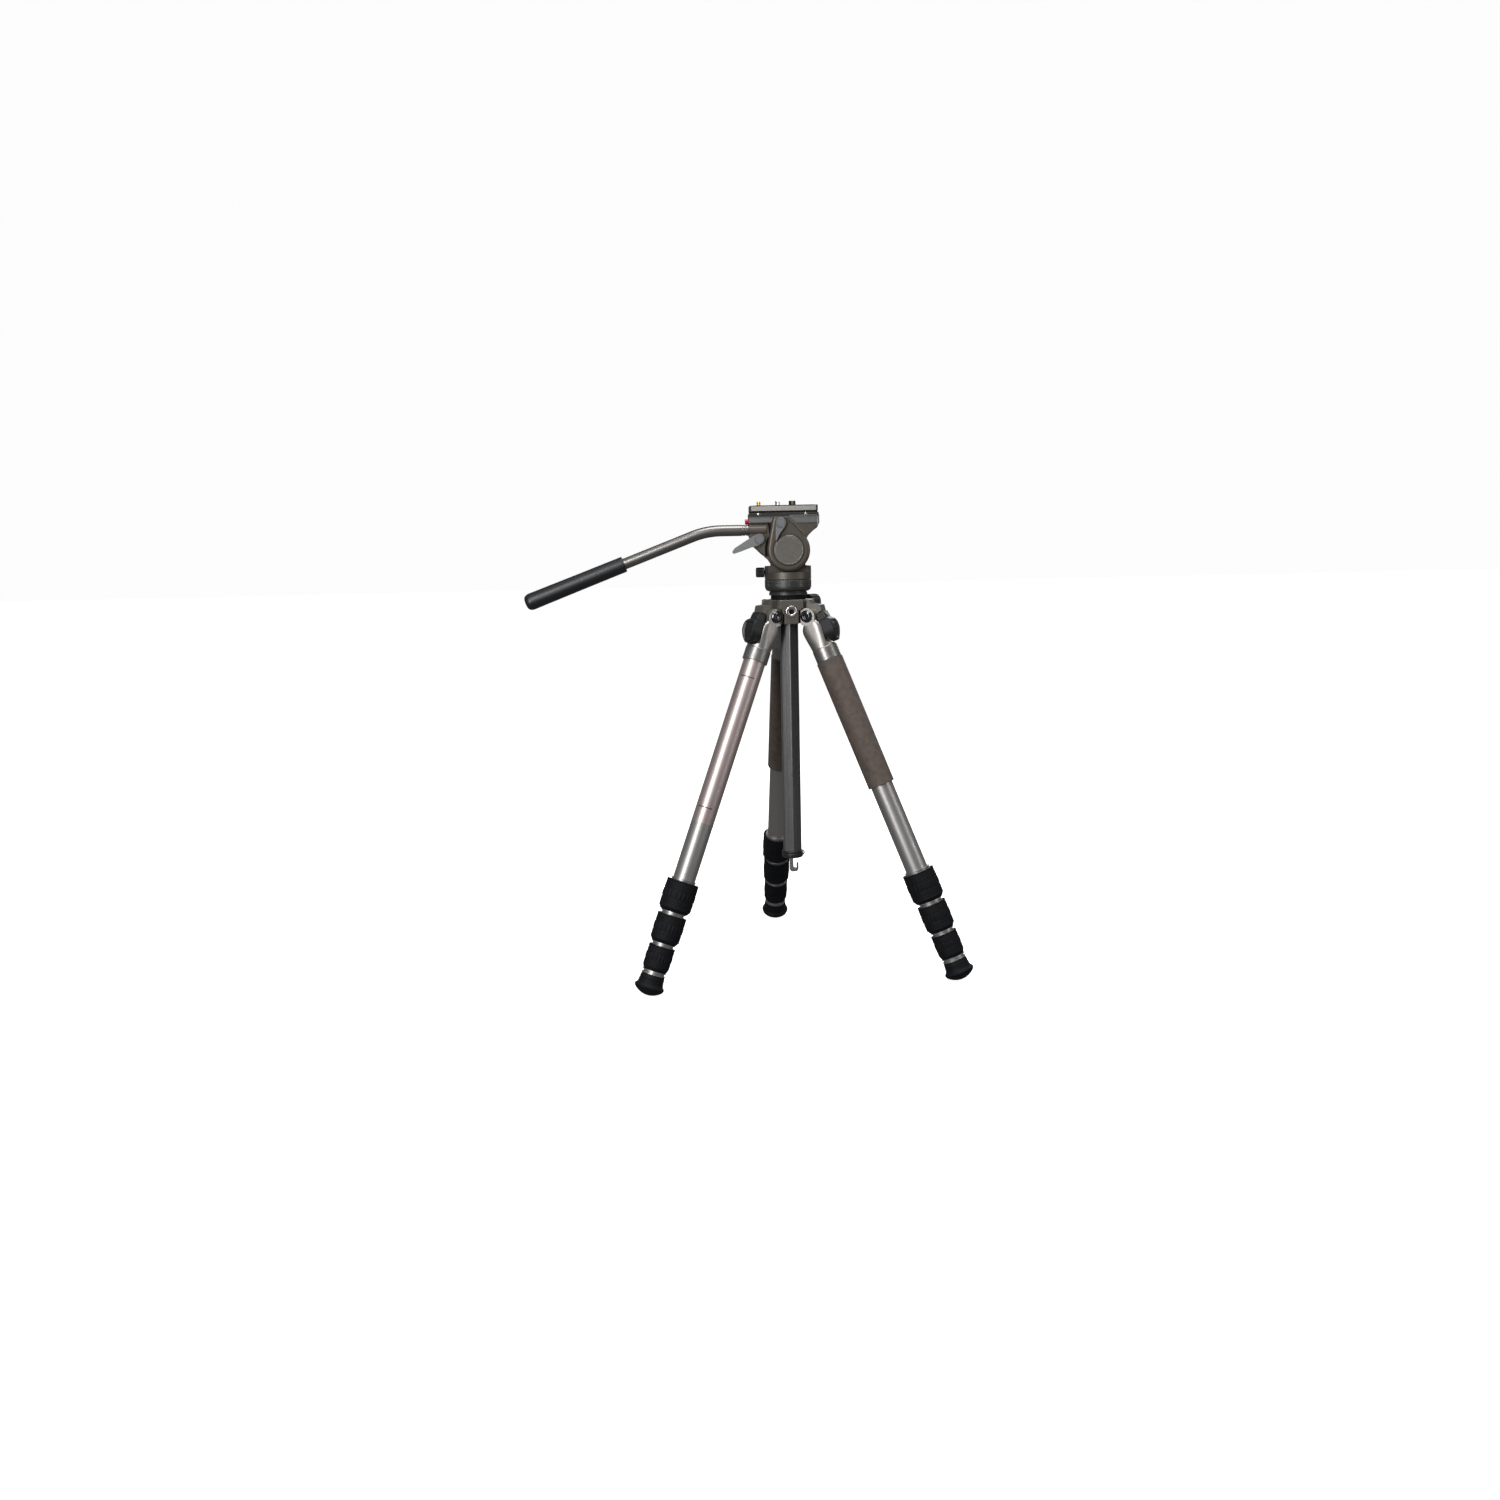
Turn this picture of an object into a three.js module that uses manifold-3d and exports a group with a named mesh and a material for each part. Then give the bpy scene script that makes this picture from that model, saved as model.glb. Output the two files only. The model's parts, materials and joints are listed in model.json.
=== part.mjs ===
// A video tripod with a fluid head: three four-section legs on a cast hub, a sliding centre column
// with a weight hook, and a pan and tilt head that carries a quick-release plate and a bent pan handle.
// Millimetres, +Z up, +X the way the lens looks, -Y the side with the handle and the two levers.
// The origin is where the column's axis meets the floor that the three feet stand on.

import * as THREE from "three";
import { mergeVertices } from "three/addons/utils/BufferGeometryUtils.js";
import Module from "manifold-3d";

const wasm = await Module();
wasm.setup();

// ---------------------------------------------------------------- driving dimensions

const FIT = 0.35; // radial gap between a piece and the hole or seat it moves in
const FINE = 20; // sides of a large round piece
const ROUND = 16; // sides of a middling round piece
const COARSE = 12; // sides of a small or hidden round piece

const HINGE_HEIGHT = 463; // leg hinges above the floor
const HINGE_RADIUS = 31.5; // leg hinges from the column's axis
const LEG_SPREAD = THREE.MathUtils.degToRad(23.5); // leg from the vertical
const HUB_TURN = THREE.MathUtils.degToRad(94); // direction of the rear leg, from +X
const LEG_TURNS = { rear: 0, left: 120, right: 240 }; // each leg's direction round the hub from the rear leg
const GRIPPED_LEGS = ["rear", "right"];

const LUG_HALF = 9; // half width of the hub's lug between the fork's two cheeks
const LUG_RADIUS = 8.9;
const FORK_OUTER = 16; // half width of the fork
const EAR_RADIUS = 10.5;
const FORK_FLOOR = 12.4; // bottom of the fork's slot, along the leg from the hinge
const CASTING_FACE = 9; // flat outer face of the casting, where the angle lock slides
const CASTING_RADIUS = 16.4;
const CASTING_END = 61;
const PIN_RADIUS = 4;
const BOLT_RADIUS = 8;
const BOLT_REACH = 19.5; // bolt head's crown from the middle of the pin

const STOP_LEVEL = 1; // hub's stop ledge, along the leg from the hinge
const STOP_REACH = 18.5; // how far the stop ledge stands out from the hinge
const LOCK_HALF = 12; // half width of the angle lock's finger pad
const PEG_RADIUS = 3;
const PEG_LEVEL = 22;
const PEG_END = -6;

// One row for each telescopic section, from the top: the tube's outer and inner radius, where it starts
// and where its threaded bush ends along the leg, the bush's radius, and the bright ring above the
// twist lock as its radius, top and bottom.
const SECTIONS = [
  { name: "upper", tube: [14.3, 13.1], span: [46, 389], bush: 16.9, ring: [17.4, 351, 355.7] },
  { name: "second", tube: [12.6, 11.6], span: [50, 430], bush: 14.6, ring: [15.9, 394.8, 399.7] },
  { name: "third", tube: [11, 10], span: [54, 466.2], bush: 13.2, ring: [15, 435.3, 440.1] },
];
// The twist locks under them: radii at the top, the crown, the lower shoulder and the small lower end.
const TWIST_LOCKS = [
  { name: "upper", top: 356.0, end: 394.4, radii: [20.6, 21.2, 20.8, 17.7] },
  { name: "second", top: 400.0, end: 435.0, radii: [18.8, 19.2, 18.8, 15.7] },
  { name: "third", top: 440.4, end: 471.0, radii: [16.9, 17.3, 17.0, 15.0] },
];
const LOCK_LIP = 4.7; // thickness of a twist lock's lower end
const LOWER_TUBE = { tube: [9.4, 8.4], span: [58, 488], ring: [15.1, 471.3, 476] };
const FOOT_DOME = 25.2; // radius of the domed sole
const FOOT_TOP = 476.3;
const FOOT_BORE_END = 489;
const GRIP = { outer: 17.4, top: 61.4, end: 235 };

const HUB_TOP = 21.5; // heights from here on are measured from the leg hinges
const HUB_BOTTOM = -9.3;
const HUB_RADIUS = 25.5;
const BLOCK_REACH = 31.3; // flat faces between the legs, from the axis
const SOCKET = { radius: 7.5, hole: 3.4, level: 6.5, depth: 8 };
const KNOB_LEVEL = 16.5;
const COLUMN_KNOB = { radius: 10.6, from: 31.7, to: 46.5, shank: 3.5, end: 14.5 };
const SIDE_SCREW = { radius: 5.2, from: 31.7, to: 36, shank: 2.5, end: 20 };

const COLUMN_CORNER = 13.4; // the column's hexagon, from its axis to a sharp corner
const COLUMN_ROUND = 13.1; // what the rounded corners reach
const COLUMN_BORE = 9;
const COLUMN_END = -310;
const TOP_PLATE = { radius: 22.7, from: 21.8, to: 26.4, plugEnd: 6 };
const STUD = { radius: 4.76, from: 0, head: 7.5, headTop: 5.6, to: 33 };
const BOTTOM_CAP = { radius: 13.9, from: -319, to: COLUMN_END - 0.3, plugTop: -296 };
const HOOK = { stem: 2.8, top: -268, flange: 5, flangeEnd: -272, plate: 2, eye: -319.5, tip: -339.5 };

const PAN_RADIUS = 30;
const PAN_NECK = 24.7;
const PAN_BASE_TOP = 46.8;
const PAN_SPIGOT = { radius: 12, top: 58 };
const PAN_SKIRT_TOP = 56.2; // the housing's shoulders beside the tilt drums
const PAN_BLOCK_TOP = 64.5;
const UPRIGHT_HALF = 15.4;
const UPRIGHT_RADIUS = 22;
const PAN_KNOB = { radius: 6.35, from: 30.3, to: 41.3, level: 56.5, shank: 2.5, end: 13 };

const TILT_LEVEL = 84.3; // height of the tilt axis
const DRUM_RADIUS = 27.5;
const ARM_INNER = 15.7; // the tilt body's two side arms, from the middle plane
const ARM_OUTER = 30.5;
const PLATFORM_FLOOR = 110.6;
const PLATFORM_TOP = 131;
const SHAFT = { radius: 6, reach: 27.6 };
const DISC = { radius: 19, floor: 28.2, face: 31.2 };
const TILT_LEVER = { x: -9.4, z: 118.6, length: 21.5, turn: 251 };
const CLAMP_LEVER = { x: -37.1, z: 98.8, length: 38.4, turn: 205 };
const LEVER = { hub: 6.5, from: 30.9, to: 36, armFrom: 31.8, armTo: 35.4, shank: 3, end: 24.5 };

const PLATE = { left: -48.5, right: 38, half: 25, top: 140.5, slab: 133.2, neck: 17.2, foot: 20, floor: 126 };
const CHANNEL = { neck: 17.7, foot: 20.5, floor: 125.6, shoulder: 130.7 };
const SCREW_HEAD = { from: 130, to: 136.6 };
const QUARTER_SCREW = { x: -11.8, radius: 3.1, head: 7, top: 146.6 };
const THREE_EIGHTHS_SCREW = { x: 7, radius: 4.6, head: 7.8, top: 146.6 };
const VIDEO_PIN = { x: -36.1, radius: 2.5, head: 3.8, from: 133, headTop: 135.6, top: 146.4 };
const PLATE_KNOB = { x: -5, z: 127.6, radius: 8.5, from: 30.9, to: 42, shank: 2.8, end: 21.2 };
const BUTTON = { y: -10, z: 120.7, radius: 3.3, from: -54.3, to: -40 };

const HANDLE = { y: -23, z: 110.1, radius: 7, bore: 5.6, spigot: 6, spigotEnd: -28, start: -58.5 };
const HANDLE_BEND = -85; // where the handle starts to bend downwards
const HANDLE_DROP = THREE.MathUtils.degToRad(20.5); // slope of the handle after its bend
const HANDLE_BEND_RADIUS = 105;
const HANDLE_GRIP = { start: -208.5, length: 135, neck: 10, end: 10.8, bore: 100, round: 6 };

// ---------------------------------------------------------------- finishes

function finish(color, roughness, metalness) {
  return new THREE.MeshStandardMaterial({ color, roughness, metalness });
}
const CAST_PAINT = finish(0x5b5750, 0.5, 0.6);
const HEAD_PAINT = finish(0x5f564c, 0.45, 0.6);
const SATIN_ALUMINIUM = finish(0x9c9894, 0.35, 0.9);
const DARK_ANODISED = finish(0x4a4a4a, 0.45, 0.7);
const BRIGHT_STEEL = finish(0xb9bab8, 0.3, 1);
const LEVER_GREY = finish(0x77797c, 0.5, 0.5);
const BLACK_RUBBER = finish(0x121417, 0.85, 0);
const BLACK_PLASTIC = finish(0x17191c, 0.5, 0);
const BROWN_SLEEVE = finish(0x4c423b, 0.8, 0);
const RED_PLASTIC = finish(0x8f0f2b, 0.4, 0);
const BRASS = finish(0xb8934a, 0.35, 1);

// ---------------------------------------------------------------- solids

// A closed three.js geometry as a solid that can be joined and cut.
function solid(geometry) {
  const bare = geometry.index ? geometry.toNonIndexed() : geometry.clone();
  bare.deleteAttribute("normal");
  bare.deleteAttribute("uv");
  const merged = mergeVertices(bare, 1e-4);
  const vertProperties = merged.attributes.position.array;
  const triVerts = new Uint32Array(merged.index.array);
  return new wasm.Manifold(new wasm.Mesh({ numProp: 3, vertProperties, triVerts }));
}

function geometryOf(shape) {
  const { vertProperties, triVerts } = shape.getMesh();
  const geometry = new THREE.BufferGeometry();
  geometry.setAttribute("position", new THREE.BufferAttribute(vertProperties, 3));
  geometry.setIndex(new THREE.BufferAttribute(triVerts, 1));
  return geometry;
}

const joined = (...shapes) => shapes.reduce((all, shape) => all.add(shape));
const cut = (shape, ...tools) => tools.reduce((left, tool) => left.subtract(tool), shape);

// Turns a profile of [radius, height] points, listed upwards along its outside, about Z.
function turnedGeometry(profile, sides = FINE) {
  const points = profile.map(([radius, height]) => new THREE.Vector2(radius, height));
  return new THREE.LatheGeometry(points, sides).rotateX(Math.PI / 2);
}
const turned = (profile, sides) => solid(turnedGeometry(profile, sides));
const turnedAboutX = (profile, sides) => solid(turnedGeometry(profile, sides).rotateY(Math.PI / 2));
const turnedAboutY = (profile, sides) => solid(turnedGeometry(profile, sides).rotateX(-Math.PI / 2));
const ring = (profile, sides) => turned([...profile, profile[0]], sides);

const rodProfile = (radius, from, to) => [[0, from], [radius, from], [radius, to], [0, to]];
const rodZ = (radius, from, to, sides) => turned(rodProfile(radius, from, to), sides);
const rodX = (radius, from, to, y, z, sides = COARSE) =>
  turnedAboutX(rodProfile(radius, from, to), sides).translate([0, y, z]);
const rodY = (radius, from, to, x, z, sides = COARSE) =>
  turnedAboutY(rodProfile(radius, from, to), sides).translate([x, 0, z]);

function block(fromX, toX, fromY, toY, fromZ, toZ) {
  const box = new THREE.BoxGeometry(toX - fromX, toY - fromY, toZ - fromZ);
  return solid(box.translate((fromX + toX) / 2, (fromY + toY) / 2, (fromZ + toZ) / 2));
}

// An outline of [x, z] points as a slab from one Y to another.
function slab(outline, fromY, toY) {
  const shape = new THREE.Shape(outline.map(([x, z]) => new THREE.Vector2(x, z)));
  const geometry = new THREE.ExtrudeGeometry(shape, { depth: toY - fromY, bevelEnabled: false });
  return solid(geometry.rotateX(Math.PI / 2).translate(0, toY, 0));
}

// A cross-section of [y, z] points as a rail from one X to another.
function rail(section, fromX, toX) {
  const shape = new THREE.Shape(section.map(([y, z]) => new THREE.Vector2(y, z)));
  const geometry = new THREE.ExtrudeGeometry(shape, { depth: toX - fromX, bevelEnabled: false });
  return solid(geometry.rotateX(Math.PI / 2).rotateZ(Math.PI / 2).translate(fromX, 0, 0));
}

// Points of an arc about a centre, from one angle to another in degrees.
function arc(centreX, centreZ, radius, from, to, steps) {
  return Array.from({ length: steps + 1 }, (_, step) => {
    const angle = THREE.MathUtils.degToRad(from + ((to - from) * step) / steps);
    return [centreX + radius * Math.cos(angle), centreZ + radius * Math.sin(angle)];
  });
}

const turnedRound = (shape, degrees) => shape.rotate([0, 0, degrees]);
const THREE_WAYS = [0, 120, 240];

// ---------------------------------------------------------------- the assembly's frames

const tripod = new THREE.Group();
const hubFrame = new THREE.Group(); // turned so that the rear leg lies along its +X
hubFrame.position.z = HINGE_HEIGHT;
hubFrame.rotation.z = HUB_TURN;
const headFrame = new THREE.Group();
headFrame.position.z = HINGE_HEIGHT;
tripod.add(hubFrame, headFrame);

function place(name, shape, material, frame) {
  const mesh = new THREE.Mesh(geometryOf(shape), material);
  mesh.name = name;
  frame.add(mesh);
  return mesh;
}

// A leg's frame: origin on the hinge, -Z along the leg, +X outwards and +Y along the hinge pin.
function legFrame(degrees) {
  const direction = new THREE.Group();
  direction.rotation.z = THREE.MathUtils.degToRad(degrees);
  const leg = new THREE.Group();
  leg.position.x = HINGE_RADIUS;
  leg.rotation.y = -LEG_SPREAD;
  direction.add(leg);
  hubFrame.add(direction);
  return leg;
}

// ---------------------------------------------------------------- legs

function legCasting() {
  const [upper] = SECTIONS;
  const barrel = turned([
    [0, -CASTING_END], [CASTING_RADIUS, -CASTING_END], [CASTING_RADIUS, -44], [15.6, -43],
    [14.4, -FORK_FLOOR], [0, -FORK_FLOOR],
  ], ROUND);
  const ears = slab(
    [...arc(0, 0, EAR_RADIUS, 0, 200, 8), [-13.5, -26], [CASTING_FACE, -26], [CASTING_FACE, -9]],
    -FORK_OUTER,
    FORK_OUTER,
  );
  return cut(
    joined(barrel, ears),
    block(-20, 20, -LUG_HALF - FIT, LUG_HALF + FIT, -FORK_FLOOR, 20),
    block(CASTING_FACE, 20, -20, 20, -43.3, -9),
    rodZ(upper.tube[0] + FIT, -CASTING_END - 1, FIT - upper.span[0]),
    rodY(PIN_RADIUS + FIT, -20, 20, 0, 0),
    rodX(PEG_RADIUS + FIT, PEG_END - FIT, 20, 0, -PEG_LEVEL),
  );
}

function hingePin() {
  const half = [[BOLT_RADIUS, BOLT_REACH - 2], [BOLT_RADIUS - 2, BOLT_REACH - 0.5], [0, BOLT_REACH]];
  const seat = FORK_OUTER + FIT;
  return turnedAboutY(
    [
      ...half.map(([radius, reach]) => [radius, -reach]).reverse(),
      [BOLT_RADIUS, -seat], [PIN_RADIUS, -seat], [PIN_RADIUS, seat], [BOLT_RADIUS, seat],
      ...half,
    ],
    COARSE,
  );
}

// The sprung tab that stops the leg on the hub's ledge: pulled outwards, it clears the ledge.
function angleLock() {
  const face = CASTING_FACE + FIT;
  const top = -STOP_LEVEL - FIT;
  const neckOutline = [[face, -14], [22, -14], [21, -8], [20.4, top], [face, top]];
  const padOutline = [
    [face, -33], [12.5, -39], [15.8, -42.4], [22.8, -42.4], [24.6, -34], [26.6, -27], [27, -19],
    [24, -12.5], [22, -11], [face, -11],
  ];
  const neck = slab(neckOutline, 0.5 - LUG_HALF, LUG_HALF - 0.5);
  const pad = slab(padOutline, -LOCK_HALF, LOCK_HALF);
  return joined(neck, pad, rodX(PEG_RADIUS, PEG_END, face + 2, 0, -PEG_LEVEL));
}

// A section's tube with the threaded bush and the bright ring that carry its twist lock.
function sectionTube(section, sides) {
  const { bush } = section;
  const [outer, inner] = section.tube;
  const [top, end] = section.span;
  const [collar, ringTop, ringEnd] = section.ring;
  return ring([
    [inner, -end], [bush, -end], [bush, -ringEnd], [collar, -ringEnd], [collar, -ringTop], [outer, -ringTop],
    [outer, -top], [inner, -top],
  ], sides);
}

function twistLock({ top, end, radii }, bush, nextTube) {
  const [topRadius, crown, shoulder, lower] = radii;
  const lip = end - LOCK_LIP;
  return ring([
    [nextTube + FIT, -end], [lower, -end], [shoulder, -lip], [crown, -(top + lip) / 2], [topRadius, -top],
    [bush + FIT, -top], [bush + FIT, -lip], [nextTube + FIT, -lip],
  ], ROUND);
}

// The last tube ends in a bright ring and a closed spigot that holds the foot.
function lowerTube() {
  const [outer, inner] = LOWER_TUBE.tube;
  const [top, end] = LOWER_TUBE.span;
  const [collar, ringTop, ringEnd] = LOWER_TUBE.ring;
  return turned([
    [0, -end], [outer, -end], [outer, -ringEnd], [collar, -ringEnd], [collar, -ringTop],
    [outer, -ringTop], [outer, -top], [inner, -top], [inner, -ringTop], [0, -ringTop],
  ], COARSE);
}

function foot() {
  const centre = (HINGE_HEIGHT - FOOT_DOME) / Math.cos(LEG_SPREAD);
  const leanAngle = THREE.MathUtils.radToDeg(LEG_SPREAD);
  const dome = [0, 12, leanAngle, 36, 49].map((degrees) => {
    const angle = THREE.MathUtils.degToRad(degrees);
    return [FOOT_DOME * Math.sin(angle), -centre - FOOT_DOME * Math.cos(angle)];
  });
  const bore = LOWER_TUBE.tube[0] + FIT;
  return turned([
    ...dome, [19.3, -492], [16.2, -488], [14.9, -FOOT_TOP], [bore, -FOOT_TOP],
    [bore, -FOOT_BORE_END], [0, -FOOT_BORE_END],
  ], ROUND);
}

function legGrip() {
  const { outer, top, end } = GRIP;
  const bore = SECTIONS[0].tube[0] + FIT;
  return ring([[bore, -end], [outer, -end], [outer, -top], [bore, -top]]);
}

function buildLeg(side, degrees) {
  const frame = legFrame(degrees);
  const put = (name, shape, material) => place(`${side}_${name}`, shape, material, frame);
  put("leg_casting", legCasting(), SATIN_ALUMINIUM);
  put("hinge_pin", hingePin(), BLACK_PLASTIC);
  put("angle_lock", angleLock(), BLACK_PLASTIC);
  SECTIONS.forEach((section, index) => {
    const [nextTube] = (SECTIONS[index + 1] ?? LOWER_TUBE).tube;
    const lock = twistLock(TWIST_LOCKS[index], section.bush, nextTube);
    put(`${section.name}_tube`, sectionTube(section, index ? COARSE : FINE), SATIN_ALUMINIUM);
    put(`${section.name}_twist_lock`, lock, BLACK_RUBBER);
  });
  put("lower_tube", lowerTube(), SATIN_ALUMINIUM);
  put("foot", foot(), BLACK_RUBBER);
  if (GRIPPED_LEGS.includes(side)) {
    put("leg_grip", legGrip(), BROWN_SLEEVE);
  }
}

// ---------------------------------------------------------------- hub and column

// A point given across and along the resting leg, as [radius, height] on the hub.
function besideLeg(outward, along) {
  const [cosine, sine] = [Math.cos(LEG_SPREAD), Math.sin(LEG_SPREAD)];
  return [HINGE_RADIUS + outward * cosine + along * sine, outward * sine - along * cosine];
}

function hubLug() {
  const outline = [
    [8, HUB_BOTTOM + 0.4],
    ...arc(HINGE_RADIUS, 0, LUG_RADIUS, -90, 16, 6),
    besideLeg(STOP_REACH, STOP_LEVEL),
    [46.6, 14.4], [45.6, 15], [34, 15], [32, HUB_TOP], [8, HUB_TOP],
  ];
  return slab(outline, -LUG_HALF, LUG_HALF);
}

// The room that the fork's two ears and the bolt heads turn in, on both sides of a lug.
function forkRoom() {
  const from = LUG_HALF + 0.05;
  const to = BOLT_REACH + 1.5;
  const radius = EAR_RADIUS + 1;
  return joined(
    rodY(radius, -to, -from, HINGE_RADIUS, 0, ROUND),
    rodY(radius, from, to, HINGE_RADIUS, 0, ROUND),
  );
}

function hub() {
  const pinBore = rodY(PIN_RADIUS + FIT, -10, 10, HINGE_RADIUS, 0);
  const faceBlock = joined(
    block(-BLOCK_REACH, -5, -15.3, 15.3, 8, HUB_TOP),
    block(-BLOCK_REACH, -5, -9, 9, HUB_BOTTOM, 12),
  );
  const body = joined(
    rodZ(HUB_RADIUS, 4, HUB_TOP),
    rodZ(20, HUB_BOTTOM, 5),
    ...THREE_WAYS.map((degrees) => turnedRound(joined(hubLug(), faceBlock), degrees)),
  );
  const rooms = THREE_WAYS.map((degrees) => turnedRound(forkRoom(), degrees));
  const bores = THREE_WAYS.map((degrees) => turnedRound(pinBore, degrees));
  const socketBore = rodX(SOCKET.radius + FIT, -40, SOCKET.depth + FIT - BLOCK_REACH, 0, SOCKET.level);
  return cut(
    body,
    ...rooms,
    ...bores,
    hexagon(COLUMN_CORNER + 0.4, HUB_BOTTOM - 1, HUB_TOP + 1),
    socketBore,
    turnedRound(rodX(COLUMN_KNOB.shank + FIT, -40, -10, 0, KNOB_LEVEL), 120),
    turnedRound(rodX(SIDE_SCREW.shank + FIT, -40, -SIDE_SCREW.end + 1, 0, KNOB_LEVEL), -120),
  );
}

function hexagon(corner, from, to) {
  const prism = new THREE.CylinderGeometry(corner, corner, to - from, 6).rotateX(Math.PI / 2);
  return solid(prism.rotateZ(Math.PI / 6).translate(0, 0, (from + to) / 2));
}

function accessorySocket() {
  const face = -BLOCK_REACH - 0.4;
  const back = SOCKET.depth - BLOCK_REACH;
  const outside = rodX(SOCKET.radius, face, back, 0, SOCKET.level, ROUND);
  return cut(outside, rodX(SOCKET.hole, face - 1, back - 1, 0, SOCKET.level));
}

function centreColumn() {
  const envelope = rodZ(COLUMN_ROUND, COLUMN_END, HUB_TOP, 36);
  const rounded = hexagon(COLUMN_CORNER, COLUMN_END, HUB_TOP).intersect(envelope);
  return cut(rounded, rodZ(COLUMN_BORE, COLUMN_END - 1, HUB_TOP + 1, ROUND));
}

function columnPlate() {
  const { radius, from, to, plugEnd } = TOP_PLATE;
  const bore = STUD.radius + FIT;
  const plug = COLUMN_BORE - FIT;
  return ring([
    [bore, plugEnd], [plug, plugEnd], [plug, from], [radius, from], [radius, to], [bore, to],
  ]);
}

function mountingStud() {
  const { radius, from, head, headTop, to } = STUD;
  return turned([
    [0, from], [head, from], [head, headTop], [radius, headTop], [radius, to], [0, to],
  ], COARSE);
}

// A knob turned about Z from its seat upwards, with the shank that enters its hole below.
function knobOnShank({ radius, from, to, shank, end }) {
  return turned([
    [0, end], [shank, end], [shank, from], [radius, from], [radius, to - 1], [radius - 1, to], [0, to],
  ], COARSE);
}

function bottomCap() {
  const { radius, from, to, plugTop } = BOTTOM_CAP;
  const bore = HOOK.stem + FIT;
  const plug = COLUMN_BORE - FIT;
  const cap = ring([
    [bore, from], [radius - 1, from], [radius, from + 1], [radius, to], [plug, to], [plug, plugTop],
    [bore, plugTop],
  ], ROUND);
  const strapLug = rodY(3.2, -2, 2, 13, to - 3.4, 12);
  const clearHole = rodZ(bore + 2, from - 1, plugTop + 1, COARSE);
  return joined(cap, cut(turnedStraight(strapLug), clearHole));
}

// The hub's frame is turned from the head's: this puts a shape made on the head's +X back in line.
const turnedStraight = (shape) => shape.rotate([0, 0, -THREE.MathUtils.radToDeg(HUB_TURN)]);

function weightHook() {
  const { stem, top, flange, flangeEnd, plate, eye, tip } = HOOK;
  const outline = [
    [-4.2, eye], [-4.2, tip + 2.5], [-2.6, tip], [4.4, tip], [7.6, tip + 3.6], [7.6, eye - 7.5],
    [5.2, eye - 7.5], [5.2, eye - 14.2], [4.2, eye - 15.2], [1.6, eye - 15.2], [0.6, eye - 14.2],
    [0.6, eye],
  ];
  const spindle = turned([
    [0, eye - 6], [stem, eye - 6], [stem, flangeEnd], [flange, flangeEnd], [flange, top], [0, top],
  ], COARSE);
  const trimmed = cut(spindle, block(0.6, 9, -9, 9, eye - 16, eye));
  return turnedStraight(joined(slab(outline, -plate, plate), trimmed));
}

// ---------------------------------------------------------------- head

function panBase() {
  const { radius, top } = PAN_SPIGOT;
  const bore = STUD.radius + FIT;
  return turned([
    [0, 35], [bore, 35], [bore, 26.7], [PAN_NECK, 26.7], [PAN_NECK, 31], [26.4, 31.6],
    [PAN_RADIUS, 36.5], [PAN_RADIUS, PAN_BASE_TOP], [radius, PAN_BASE_TOP], [radius, top], [0, top],
  ]);
}

function panHousing() {
  const from = PAN_BASE_TOP + 0.3;
  const skirt = rodZ(PAN_RADIUS, from, PAN_SKIRT_TOP);
  const slice = block(-40, 40, -UPRIGHT_HALF, UPRIGHT_HALF, 0, 100);
  const middle = rodZ(PAN_RADIUS, from, PAN_BLOCK_TOP).intersect(slice);
  const upright = slab(
    [[-UPRIGHT_RADIUS, 60], [UPRIGHT_RADIUS, 60], ...arc(0, TILT_LEVEL, UPRIGHT_RADIUS, 0, 180, 12)],
    -UPRIGHT_HALF,
    UPRIGHT_HALF,
  );
  return cut(
    joined(skirt, middle, upright),
    rodZ(PAN_SPIGOT.radius + FIT, from - 1, PAN_SPIGOT.top + FIT, FINE),
    rodY(SHAFT.radius + FIT, -20, 20, 0, TILT_LEVEL),
    rodX(PAN_KNOB.shank + FIT, -40, -10, 0, PAN_KNOB.level),
  );
}

// The outline of a tilt arm, [x, z]: the round drum, the flank up to the handle socket at the back,
// the clamp across the top, and the hollow in front where the drum's curve meets the clamp.
function armOutline() {
  const drum = arc(0, TILT_LEVEL, DRUM_RADIUS, 214, 392, 18);
  return [
    [-49.5, PLATFORM_TOP], [-49.5, 103.5], [-44.5, 90], [-42, 87.8], ...drum, [24.9, 103.2],
    [27.5, 105.8], [36.3, 111.6], [38.7, 116.5], [38.7, PLATFORM_TOP],
  ];
}

function dovetailChannel() {
  const { neck, foot: wide, floor, shoulder } = CHANNEL;
  const above = PLATFORM_TOP + 1;
  const section = [
    [-wide, floor], [wide, floor], [neck, shoulder], [neck, above], [-neck, above], [-neck, shoulder],
  ];
  return rail(section, -60, 50);
}

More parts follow.
